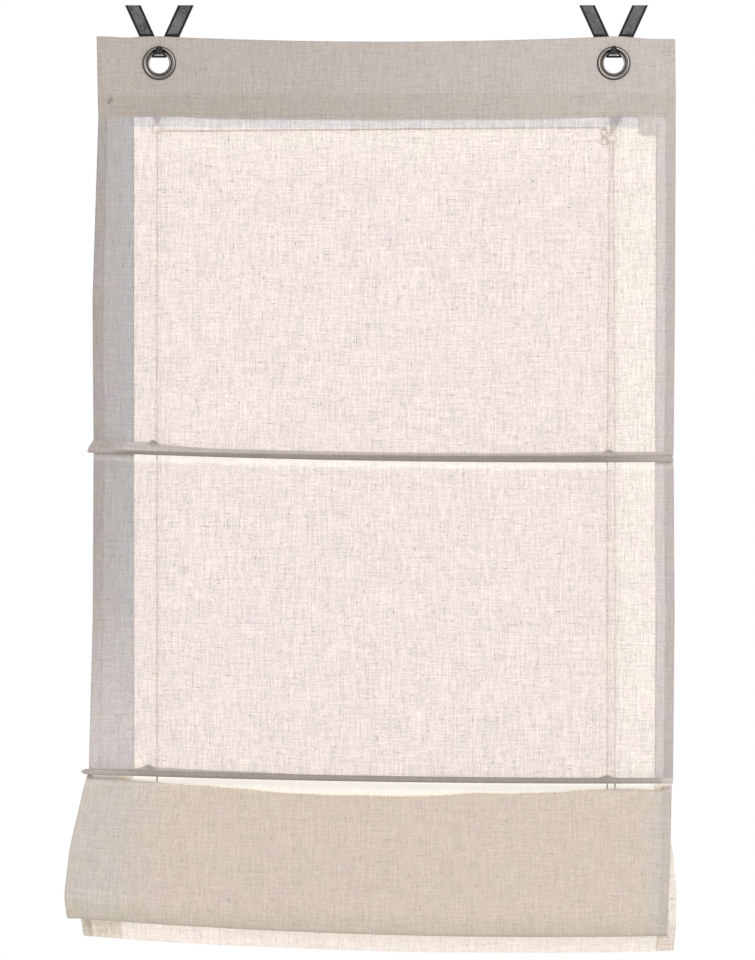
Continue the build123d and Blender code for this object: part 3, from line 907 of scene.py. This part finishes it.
def make_tab(name, node, ring_place, ring_drop, half, shift):
    """A ribbon folded under a ring's top: a bent path in depth and height, drawn together at its foot."""
    seat = -ring_drop + ring_lift
    fold = seat - tab_foot_half
    corners = [(tab_depth, tab_top), (tab_depth, fold), (tab_back, fold), (tab_over, tab_top)]
    line, _ = bent_rows(np.array(corners, float)[:, None], [tab_bend, tab_bend], tab_runs, arc_steps=6)
    depth, height = line[:, 0, 0], line[:, 0, 1]
    full = np.clip((height - seat) / (tab_narrows - seat), 0, 1)
    path = np.stack([ring_place + shift * full, depth, height], -1)
    way = unit(np.gradient(line[:, 0], axis=0))
    out = np.stack([np.zeros(depth.size), -way[:, 1], way[:, 0]], -1)
    width = tab_foot_half + (half - tab_foot_half) * full
    points = strip_points(path, (1, 0, 0), width, out, ribbon_thickness, tab_columns)
    piece, _ = add_mesh(name, points, closed_columns=True, caps=True, uv=flat_places(path, tab_columns))
    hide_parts(node)
    return piece


def tube_points(path, reference, radius, around=12, closed=True):
    """A round tube on a path: at each point a circle across it, set out from the reference way."""
    way = unit(np.roll(path, -1, 0) - np.roll(path, 1, 0) if closed else np.gradient(path, axis=0))
    first = unit(reference - way * (reference * way).sum(-1, keepdims=True))
    second = np.cross(way, first)
    turn = np.linspace(0, 2 * math.pi, around, endpoint=False)[:, None]
    return path[:, None] + radius * (first[:, None] * np.cos(turn) + second[:, None] * np.sin(turn))


def make_knot():
    """The figure-eight knot: a line that swings across twice while it goes up and down once, over itself."""
    t = np.linspace(0, 2 * math.pi, knot_steps, endpoint=False)
    path = np.stack([
        knot_place + knot_swing * np.sin(2 * t),
        knot_depth + knot_over * np.sin(t),
        knot_height + knot_rise * np.cos(t),
    ], -1)
    points = tube_points(path, np.array([0.0, 1.0, 0.0]), cord_diameter / 2)
    piece, _ = add_mesh("figure_eight_knot", points, closed_rows=True, closed_columns=True)
    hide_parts("cord_knot")
    return piece


def make_pull_knot():
    """The pull cord's end knot: a cord wound in and out three times as it goes twice round the axis."""
    t = np.linspace(0, 2 * math.pi, end_knot_steps, endpoint=False)
    flat = np.stack([np.sin(t) + 2 * np.sin(2 * t), np.cos(t) - 2 * np.cos(2 * t)], -1) * end_knot_size
    path = np.stack([
        pull_cord_place + flat[:, 0],
        cord_depth + flat[:, 1],
        pull_cord_foot - end_knot_drop - end_knot_rise * np.sin(3 * t),
    ], -1)
    upright = np.tile([0.0, 0.0, 1.0], (t.size, 1))
    points = tube_points(path, upright, cord_diameter / 2)
    piece, _ = add_mesh("pull_cord_end_knot", points, closed_rows=True, closed_columns=True)
    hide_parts("pull_cord_knot")
    return piece


def spline_points(route):
    """Points of the smooth line that a route draws: a spline of the second degree held at its two ends."""
    line = bpy.data.curves.new("route", "CURVE")
    line.dimensions = "3D"
    line.resolution_u = 24
    spline = line.splines.new("NURBS")
    spline.points.add(len(route) - 1)
    corners = np.column_stack([np.array(route) * MM, np.ones(len(route))])
    spline.points.foreach_set("co", corners.ravel())
    spline.order_u = 3
    spline.use_endpoint_u = True
    holder = bpy.data.objects.new("route", line)
    drawn = bpy.data.meshes.new_from_object(holder)
    places = np.empty(len(drawn.vertices) * 3)
    drawn.vertices.foreach_get("co", places)
    bpy.data.meshes.remove(drawn)
    bpy.data.objects.remove(holder)
    bpy.data.curves.remove(line)
    return places.reshape(-1, 3) / MM


def make_pull_cord():
    """The pull cord: out of the header ring to the back, then straight down behind the cloth, limp."""
    path = spline_points([
        (235, cross_depth, bight_height),
        (236.8, cross_depth, bight_height),
        (236.8, cord_depth, bight_height),
        (236.9, cord_depth, -92),
        (pull_cord_place, cord_depth, -300),
        (pull_cord_place, cord_depth, pull_cord_foot),
    ])
    points = tube_points(path, np.array([1.0, -1.0, 1.0]), cord_diameter / 2, closed=False)
    piece, _ = add_mesh("pull_cord_line", points, closed_columns=True, caps=True)
    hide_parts("pull_cord")
    return piece, (path * MM).tolist()


def stitch_points(path, out=(0, -1, 0)):
    """Stitches along a path: each a short thread out of the cloth and back in, as half a sine wave."""
    out = np.asarray(out, float)
    run = np.concatenate([[0], np.cumsum(np.linalg.norm(np.diff(path, axis=0), axis=-1))])
    starts = np.arange(stitch_pitch / 2, run[-1] - stitch_pitch, stitch_pitch)
    t = np.linspace(0, 1, stitch_steps)
    along = starts[:, None] + t * stitch_length
    line = np.stack([np.interp(along, run, path[:, i]) for i in range(3)], -1)
    line = line + out * (cloth_thickness / 2 + stitch_rise * (2 * np.sin(math.pi * t) - stitch_sink))[:, None]
    side = unit(np.cross(out, unit(line[:, -1:] - line[:, :1])))
    turn = np.linspace(0, 2 * math.pi, thread_sides, endpoint=False)[:, None]
    return line[:, :, None] + thread_radius * (side[:, :, None] * np.cos(turn) + out * np.sin(turn))


def make_stitches():
    """Rows of sewing on the sheet: along the header, the tape and the bottom hem, and down the side hems."""
    place, points, zone = cloth
    fold = len(fold_turns)
    front = slice(left_hem_columns + fold, points.shape[1] - right_hem_columns - fold)
    middle = points.shape[1] // 2

    def nearest(rows, height):
        rows = np.flatnonzero(rows)
        return points[rows[np.argmin(np.abs(points[rows, middle, 2] - height))], front]

    flap = (zone > flap_run + 1) & (zone < bottom_fold_run - 1)
    rows = [
        stitch_points(nearest(zone == header_run, header_sewing)),
        stitch_points(nearest(zone == band_run, tape_sewing)),
        stitch_points(nearest(flap, flap_line(0) + bottom_hem - bottom_sewing)),
    ]
    upper_panel = (zone >= light_band_run) & (zone <= upper_tuck_run - 1)
    edges = [
        hem_strip - half_width - strip_sewing,
        left_hem - half_width - hem_sewing,
        half_width - right_hem + hem_sewing,
    ]
    for edge in edges:
        column = front.start + np.argmin(np.abs(place[front] - edge))
        for panel in (upper_panel, zone == lower_panel_foot_run):
            rows.append(stitch_points(points[panel, column]))
    piece, _ = add_mesh("hem_stitches", np.concatenate(rows), closed_columns=True, caps=True)
    return piece


def make_ring_threads():
    """Sewing of the rings behind the tucks: round each ring, three small loops of thread into the cloth."""
    t = np.linspace(0, 2 * math.pi, ring_thread_steps, endpoint=False)
    loops = []
    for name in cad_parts:
        if not name.startswith("cord_ring"):
            continue
        low, high = np.array(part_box(name)) / MM
        x, _, z = (low + high) / 2
        for shift in (-ring_thread_pitch, 0, ring_thread_pitch):
            depth = ring_thread_depth + ring_thread_reach * np.cos(t)
            path = np.stack([np.full(t.size, x + shift), depth, z + ring_thread_rise * np.sin(t)], -1)
            loops.append(tube_points(path, np.array([1.0, 0.0, 0.0]), thread_radius, thread_sides))
    piece, _ = add_mesh("ring_threads", np.stack(loops), closed_rows=True, closed_columns=True)
    return piece


eyelets = [
    make_eyelet("pressed_eyelet_left", -eyelet_place),
    make_eyelet("pressed_eyelet_right", eyelet_place),
]
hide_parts("eyelet_left")
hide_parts("eyelet_right")
woven_tape = make_tape()
tabs = [
    make_tab("ribbon_tab_left", "header_tab_left", *left_tab),
    make_tab("ribbon_tab_right", "header_tab_right", *right_tab),
]
figure_eight = make_knot()
end_knot = make_pull_knot()
pull_cord, pull_cord_path = make_pull_cord()
hem_stitches = make_stitches()
ring_threads = make_ring_threads()


# Materials
def put(tree, kind, inputs=(), **settings):
    """A node with its settings, and its inputs linked or set."""
    node = tree.nodes.new(kind)
    for name, value in settings.items():
        setattr(node, name, value)
    for name, value in dict(inputs).items():
        if isinstance(value, bpy.types.NodeSocket):
            tree.links.new(value, node.inputs[name])
        else:
            node.inputs[name].default_value = value
    return node


def calculate(tree, operation, first, second=0.0):
    """One step of arithmetic between sockets or numbers."""
    return put(tree, "ShaderNodeMath", {0: first, 1: second}, operation=operation).outputs[0]


def ramp(tree, value, low, high, start=0.0, end=1.0):
    """A value taken from low to high onto start to end, easing at both ends."""
    inputs = {"Value": value, "From Min": low, "From Max": high, "To Min": start, "To Max": end}
    return put(tree, "ShaderNodeMapRange", inputs, interpolation_type="SMOOTHSTEP").outputs["Result"]


def band(tree, value, start, full, fading, end):
    """1 while a value is between full and fading, easing to 0 at start and at end."""
    return calculate(tree, "MULTIPLY", ramp(tree, value, start, full), ramp(tree, value, end, fading))


def stretched_noise(tree, vector, scale, detail=2.0, start=0.0):
    """Noise drawn out along an axis: scale holds how many changes there are in a metre each way."""
    inputs = {"Vector": vector, "Scale": scale, "Location": (start, start * 0.7, start)}
    mapped = put(tree, "ShaderNodeMapping", inputs).outputs["Vector"]
    inputs = {"Vector": mapped, "Scale": 1.0, "Detail": detail, "Lacunarity": 2.37}
    return put(tree, "ShaderNodeTexNoise", inputs).outputs["Fac"]


def new_group(name, inputs, outputs):
    """A node group with named inputs and outputs, each given as a name, a kind and for inputs a value."""
    tree = bpy.data.node_groups.new(name, "ShaderNodeTree")
    for label, kind, value in inputs:
        socket = tree.interface.new_socket(label, in_out="INPUT", socket_type=kind)
        if value is not None:
            socket.default_value = value
    for label, kind in outputs:
        tree.interface.new_socket(label, in_out="OUTPUT", socket_type=kind)
    return tree, tree.nodes.new("NodeGroupInput"), tree.nodes.new("NodeGroupOutput")


def make_weave_group():
    """Plain weave with uneven threads: a wave each way, streaks along both threads and short thick slubs."""
    tree, given, result = new_group(
        "uneven_weave",
        [("Vector", "NodeSocketVector", None), ("Threads", "NodeSocketFloat", 1300.0)],
        [("Height", "NodeSocketFloat"), ("Streak", "NodeSocketFloat"), ("Slub", "NodeSocketFloat")],
    )
    vector = given.outputs["Vector"]
    parts = put(tree, "ShaderNodeSeparateXYZ", {0: vector})
    turns = calculate(tree, "MULTIPLY", given.outputs["Threads"], 2 * math.pi)
    warp = calculate(tree, "SINE", calculate(tree, "MULTIPLY", parts.outputs["X"], turns))
    weft = calculate(tree, "SINE", calculate(tree, "MULTIPLY", parts.outputs["Y"], turns))
    tree.links.new(calculate(tree, "MULTIPLY", warp, weft), result.inputs["Height"])
    streak = 0.0
    for long, short, start in streak_noises:
        crosswise = stretched_noise(tree, vector, (long, short, 1), detail=3.0, start=start)
        lengthwise = stretched_noise(tree, vector, (short, long, 1), detail=3.0, start=start + 3.1)
        crosswise = calculate(tree, "MULTIPLY", crosswise, weft_share / len(streak_noises))
        lengthwise = calculate(tree, "MULTIPLY", lengthwise, warp_share / len(streak_noises))
        streak = calculate(tree, "ADD", streak, calculate(tree, "ADD", crosswise, lengthwise))
    grain = stretched_noise(tree, vector, grain_scale, detail=1.0, start=7.7)
    grain = calculate(tree, "MULTIPLY", grain, 2 - weft_share - warp_share)
    tree.links.new(calculate(tree, "ADD", streak, grain), result.inputs["Streak"])
    slubs = [stretched_noise(tree, vector, scale, detail=1.0) for scale in slub_scales]
    slubs = [ramp(tree, slub, *slub_ends) for slub in slubs]
    tree.links.new(calculate(tree, "MAXIMUM", *slubs), result.inputs["Slub"])
    return tree


weave = make_weave_group()


def new_material(name, roughness, metallic=0.0):
    """An empty material with its shader, and the tree to add to."""
    material = bpy.data.materials.new(name)
    material.use_nodes = True
    tree = material.node_tree
    shader = tree.nodes["Principled BSDF"]
    shader.inputs["Roughness"].default_value = roughness
    shader.inputs["Metallic"].default_value = metallic
    return material, tree, shader


def tint(tree, colour, amount):
    """A colour made lighter or darker by a value round one."""
    scale = put(tree, "ShaderNodeVectorMath", {0: colour, "Scale": amount}, operation="SCALE")
    return scale.outputs["Vector"]


def bump(tree, shader, height, distance, strength=1.0):
    """Fine relief on a shader."""
    node = put(tree, "ShaderNodeBump", {"Height": height, "Distance": distance, "Strength": strength})
    tree.links.new(node.outputs["Normal"], shader.inputs["Normal"])


def blend(tree, first, second, share):
    """Two colours mixed by a share from 0 to 1."""
    inputs = {0: share, 6: first, 7: second}
    return put(tree, "ShaderNodeMix", inputs, data_type="RGBA").outputs[2]


def solid(colour):
    """A display colour as a shader's colour."""
    return (*linear(colour).tolist(), 1.0)


def make_speckle_group():
    """Fine unevenness of a hard finish: two noises of different grain, as a value round one."""
    tree, given, result = new_group(
        "fine_speckle",
        [
            ("Vector", "NodeSocketVector", None),
            ("Grain", "NodeSocketFloat", 900.0),
            ("Amount", "NodeSocketFloat", 0.2),
        ],
        [("Level", "NodeSocketFloat")],
    )
    fine = put(tree, "ShaderNodeTexNoise", {
        "Vector": given.outputs["Vector"],
        "Scale": given.outputs["Grain"],
        "Detail": 3.0,
    }).outputs["Fac"]
    broad = put(tree, "ShaderNodeTexNoise", {
        "Vector": given.outputs["Vector"],
        "Scale": calculate(tree, "MULTIPLY", given.outputs["Grain"], 0.12),
        "Detail": 2.0,
    }).outputs["Fac"]
    swing = calculate(tree, "SUBTRACT", calculate(tree, "ADD", fine, broad), 1.0)
    level = calculate(tree, "ADD", 1.0, calculate(tree, "MULTIPLY", swing, given.outputs["Amount"]))
    tree.links.new(level, result.inputs["Level"])
    return tree


speckle = make_speckle_group()


def object_place(tree):
    """The place on a piece as one vector, and its three parts by letter."""
    place = put(tree, "ShaderNodeTexCoord").outputs["Object"]
    return place, put(tree, "ShaderNodeSeparateXYZ", {0: place}).outputs


def speckled(tree, place, grain, amount):
    """The level of the shared speckle at a place, by its grain and its amount."""
    inputs = {"Vector": place, "Grain": grain, "Amount": amount}
    return put(tree, "ShaderNodeGroup", inputs, node_tree=speckle).outputs["Level"]


def from_eyelet(tree, x):
    """How far out to the side from the nearer eyelet's middle, in metres."""
    return calculate(tree, "SUBTRACT", calculate(tree, "ABSOLUTE", x), eyelet_place * MM)


def make_linen():
    """Linen: its tone from the sheet, with painted light and shade, streaked, slubbed, and partly lit from
    behind where single.
    """
    material, tree, shader = new_material("linen", roughness=0.92)
    flat = put(tree, "ShaderNodeUVMap", uv_map="flat").outputs["UV"]
    tone = put(tree, "ShaderNodeAttribute", attribute_name="tone")
    cover = tone.outputs["Alpha"]
    threads = put(tree, "ShaderNodeGroup", {"Vector": flat}, node_tree=weave)
    swing = calculate(tree, "SUBTRACT", threads.outputs["Streak"], 1.0)
    swing = calculate(tree, "MULTIPLY", swing, ramp(tree, cover, open_cover, 1.0, *streak_strength))
    strength = ramp(tree, cover, open_cover, 1.0, *slub_strength)
    dark = calculate(tree, "MULTIPLY", threads.outputs["Slub"], strength)
    level = calculate(tree, "SUBTRACT", calculate(tree, "ADD", 1.0, swing), dark)
    colour = tint(tree, tone.outputs["Color"], level)
    cloud = stretched_noise(tree, flat, cloud_scale, detail=2.0, start=2.3)
    cloud = ramp(tree, cloud, 0.3, 0.7)
    cast = blend(tree, (*cool_cast, 1.0), (*warm_cast, 1.0), cloud)
    colour = put(tree, "ShaderNodeVectorMath", {0: colour, 1: cast}, operation="MULTIPLY").outputs["Vector"]
    tree.links.new(colour, shader.inputs["Base Color"])
    bump(tree, shader, threads.outputs["Height"], linen_relief * MM, strength=0.6)
    through = put(tree, "ShaderNodeBsdfTranslucent", {"Color": colour}).outputs["BSDF"]
    share = calculate(tree, "MULTIPLY", calculate(tree, "SUBTRACT", 1.0, cover), THROUGH_SHARE)
    body = put(tree, "ShaderNodeMixShader", {0: share, 1: shader.outputs["BSDF"], 2: through}).outputs[0]
    gap = put(tree, "ShaderNodeBsdfTransparent").outputs["BSDF"]
    woven = put(tree, "ShaderNodeMixShader", {0: cover, 1: gap, 2: body}).outputs[0]
    tree.links.new(woven, tree.nodes["Material Output"].inputs["Surface"])
    return material


def make_narrow_weave(name, colour):
    """A woven band: the shared weave at its own fineness, with small streaks and a rib of painted shade and
    light.
    """
    material, tree, shader = new_material(name, roughness=0.85)
    flat = put(tree, "ShaderNodeUVMap", uv_map="flat").outputs["UV"]
    threads = put(tree, "ShaderNodeGroup", {"Vector": flat, "Threads": 1700.0}, node_tree=weave)
    swing = calculate(tree, "MULTIPLY", calculate(tree, "SUBTRACT", threads.outputs["Streak"], 1.0), 0.5)
    # Painted shade and light of the rib: the weave's hollows a little darker and its crowns a little lighter
    rib = calculate(tree, "MULTIPLY", threads.outputs["Height"], 0.08)
    level = calculate(tree, "ADD", calculate(tree, "ADD", 1.0, swing), rib)
    tree.links.new(tint(tree, solid(colour)[:3], level), shader.inputs["Base Color"])
    bump(tree, shader, threads.outputs["Height"], band_relief * MM, strength=0.7)
    return material


def make_twist(name, colour, shade, pitch):
    """Twisted cord: slanting grooves in painted shade between its strands, a wave on X, Y and Z together."""
    material, tree, shader = new_material(name, roughness=0.8)
    place, parts = object_place(tree)
    slant = calculate(tree, "ADD", calculate(tree, "ADD", parts["X"], parts["Z"]), parts["Y"])
    wave = calculate(tree, "SINE", calculate(tree, "MULTIPLY", slant, 2 * math.pi / (pitch * MM)))
    # Painted shade in the grooves between the strands
    mixed = blend(tree, solid(shade), solid(colour), ramp(tree, wave, -0.9, 0.3))
    level = speckled(tree, place, grain=2500.0, amount=0.3)
    tree.links.new(tint(tree, mixed, level), shader.inputs["Base Color"])
    bump(tree, shader, wave, cord_relief * MM, strength=0.7)
    return material


def make_nickel():
    """Nickel plate on a pressed ring, darker and rougher by the radius: patina in its groove, painted shade
    in its bore and at its rim.
    """
    material, tree, shader = new_material("nickel_plate", roughness=0.26, metallic=1.0)
    place, parts = object_place(tree)
    squares = [calculate(tree, "POWER", side, 2.0) for side in (from_eyelet(tree, parts["X"]), parts["Z"])]
    radius = calculate(tree, "SQRT", calculate(tree, "ADD", *squares))
    radius = calculate(tree, "MULTIPLY", radius, 1 / MM)
    # Patina in the groove, painted shade at the rim and in the bore
    patina_and_shade = calculate(tree, "MAXIMUM", ramp(tree, radius, *rim_radii), band(tree, radius, *groove_radii))
    patina_and_shade = calculate(tree, "MAXIMUM", patina_and_shade, ramp(tree, radius, *bore_radii))
    colour = blend(tree, solid(NICKEL), solid(NICKEL_DARK), patina_and_shade)
    level = speckled(tree, place, grain=700.0, amount=0.5)
    tree.links.new(tint(tree, colour, level), shader.inputs["Base Color"])
    tree.links.new(ramp(tree, patina_and_shade, 0.0, 1.0, 0.22, 0.5), shader.inputs["Roughness"])
    return material


def make_hook_steel():
    """Satin grey steel strip: speckled, with painted shade near black along its edges, over the header's top
    and on its tongue, and a painted highlight where it bends out of the eyelet.

    The border of the leaning strips is found by the distance across them, that of the tongue by the slope
    of its sides.
    """
    material, tree, shader = new_material("hook_steel", roughness=0.55, metallic=0.1)
    shader.inputs["Specular IOR Level"].default_value = 0.2
    place, parts = object_place(tree)
    height = calculate(tree, "MULTIPLY", parts["Z"], 1 / MM)
    off = calculate(tree, "MULTIPLY", from_eyelet(tree, parts["X"]), 1 / MM)
    off = calculate(tree, "ABSOLUTE", off)
    in_front = ramp(tree, parts["Y"], 0.0, tongue_front * MM)
    behind = calculate(tree, "SUBTRACT", 1.0, in_front)

    lean = math.radians(hook_lean)
    from_middle = calculate(tree, "SUBTRACT", off, calculate(tree, "MULTIPLY", height, math.tan(lean)))
    from_middle = calculate(tree, "ABSOLUTE", calculate(tree, "MULTIPLY", from_middle, math.cos(lean)))
    # Painted shade: near black along the strips' edges and over the header's top
    edge = ramp(tree, from_middle, *[strip_half - inset for inset in strip_border])
    edge = calculate(tree, "MAXIMUM", edge, ramp(tree, height, *[header_rise + rise for rise in strip_foot]))
    edge = calculate(tree, "MULTIPLY", edge, behind)

    # Painted shade over the tongue in front of the eyelet, darkest at its lip and sides, and a painted
    # highlight on its bend
    beside = calculate(tree, "MULTIPLY", calculate(tree, "SUBTRACT", height, tongue_foot), tongue_taper)
    beside = calculate(tree, "ADD", off, beside)
    side = ramp(tree, beside, *[strip_half - inset for inset in tongue_border])
    border = calculate(tree, "MAXIMUM", ramp(tree, height, *lip_heights), side)
    tongue = calculate(tree, "MULTIPLY", in_front, calculate(tree, "MAXIMUM", border, tongue_shade))
    highlight = calculate(tree, "MULTIPLY", band(tree, height, *bend_heights), in_front)
    highlight = calculate(tree, "MULTIPLY", highlight, calculate(tree, "SUBTRACT", 1.0, side))

    level = speckled(tree, place, grain=560.0, amount=2.4)
    colour = blend(tree, solid(STEEL), solid(STEEL_EDGE_SHADE), calculate(tree, "MAXIMUM", edge, tongue))
    colour = blend(tree, colour, solid(STEEL_HIGHLIGHT), highlight)
    tree.links.new(tint(tree, colour, level), shader.inputs["Base Color"])
    tree.links.new(ramp(tree, level, 0.8, 1.2, 0.42, 0.6), shader.inputs["Roughness"])
    return material


def make_moulded(name, colour, roughness, amount):
    """Pale moulded or drawn plastic with a fine cloudiness."""
    material, tree, shader = new_material(name, roughness)
    place, _ = object_place(tree)
    level = speckled(tree, place, grain=400.0, amount=amount)
    tree.links.new(tint(tree, solid(colour)[:3], level), shader.inputs["Base Color"])
    uneven = ramp(tree, level, 0.9, 1.1, roughness - 0.06, roughness + 0.1)
    tree.links.new(uneven, shader.inputs["Roughness"])
    return material


def dress(material, *pieces):
    """Gives each piece its one material."""
    for piece in pieces:
        piece.data.materials.clear()
        piece.data.materials.append(material)


def cad(*starts):
    """The CAD pieces whose names start with any of these."""
    return [piece for name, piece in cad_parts.items() if name.startswith(starts)]


dress(make_linen(), linen_sheet)
dress(make_narrow_weave("woven_tape", TAPE), woven_tape)
dress(make_narrow_weave("ribbon", RIBBON), *tabs)
twisted_cord = make_twist("twisted_cord", CORD, CORD_SHADE, pitch=2.4)
dress(twisted_cord, figure_eight, end_knot, pull_cord, *cad("lift_cord"))
dress(make_twist("sewing_thread", THREAD, CORD_SHADE, pitch=0.9), hem_stitches, ring_threads)
dress(make_nickel(), *eyelets, *cad("eyelet_washer"))
dress(make_hook_steel(), *cad("hook"))
ring_plastic = make_moulded("ring_plastic", RING, roughness=0.28, amount=0.1)
dress(ring_plastic, *cad("header_ring", "cord_ring"))
dress(make_moulded("glass_fibre_rod", ROD, roughness=0.5, amount=0.25), *cad("tuck_rod"))


# Stage
def make_stage():
    """A pale floor far under the blind, a white surround, soft light from front and back, and the camera."""
    reach = 6000
    floor_height = -1900
    floor_grey = 0.85
    fill_light = 0.62
    lamp_size = 2.4
    lamp_aim = Vector((0, 0, -0.45))
    picture_height = 1003.2
    picture_middle = (-9.4, -435.5)
    distance = 8000
    side = np.linspace(-reach, reach, 3)
    grid = np.stack(np.broadcast_arrays(side[None, :], side[:, None], floor_height), -1).astype(float)
    floor, _ = add_mesh("floor", grid)
    floor.parent = None
    material, tree, shader = new_material("pale_floor", roughness=0.9)
    shader.inputs["Base Color"].default_value = (floor_grey, floor_grey, floor_grey, 1)
    floor.data.materials.append(material)

    scene = bpy.context.scene
    world = bpy.data.worlds.new("surround")
    scene.world = world
    world.use_nodes = True
    tree = world.node_tree
    path = put(tree, "ShaderNodeLightPath")
    seen = calculate(tree, "MAXIMUM", path.outputs["Is Camera Ray"], path.outputs["Is Glossy Ray"])
    seen = calculate(tree, "MAXIMUM", seen, path.outputs["Is Transmission Ray"])
    strength = ramp(tree, seen, 0.0, 1.0, fill_light, 1.0)
    background = tree.nodes["Background"]
    background.inputs["Color"].default_value = (1, 1, 1, 1)
    tree.links.new(strength, background.inputs["Strength"])

    def lamp(name, place, power):
        light = bpy.data.lights.new(name, "AREA")
        light.shape = "SQUARE"
        light.size = lamp_size
        light.energy = power
        piece = bpy.data.objects.new(name, light)
        piece.location = place
        piece.rotation_euler = (lamp_aim - Vector(place)).to_track_quat("-Z", "Y").to_euler()
        scene.collection.objects.link(piece)

    lamp("front_light", place=(1.3, -4.1, 0.9), power=82)
    lamp("back_light", place=(-0.9, 4.2, 0.6), power=76)

    scene.view_settings.view_transform = "Standard"
    camera = bpy.data.cameras.new("camera")
    camera.sensor_fit = "VERTICAL"
    camera.sensor_height = 24
    camera.lens = camera.sensor_height * distance / picture_height
    camera.clip_end = 100
    piece = bpy.data.objects.new("camera", camera)
    piece.location = (picture_middle[0] * MM, -distance * MM, picture_middle[1] * MM)
    piece.rotation_euler = (math.radians(90), 0, 0)
    scene.collection.objects.link(piece)
    scene.camera = piece


make_stage()

bpy.context.view_layer.update()
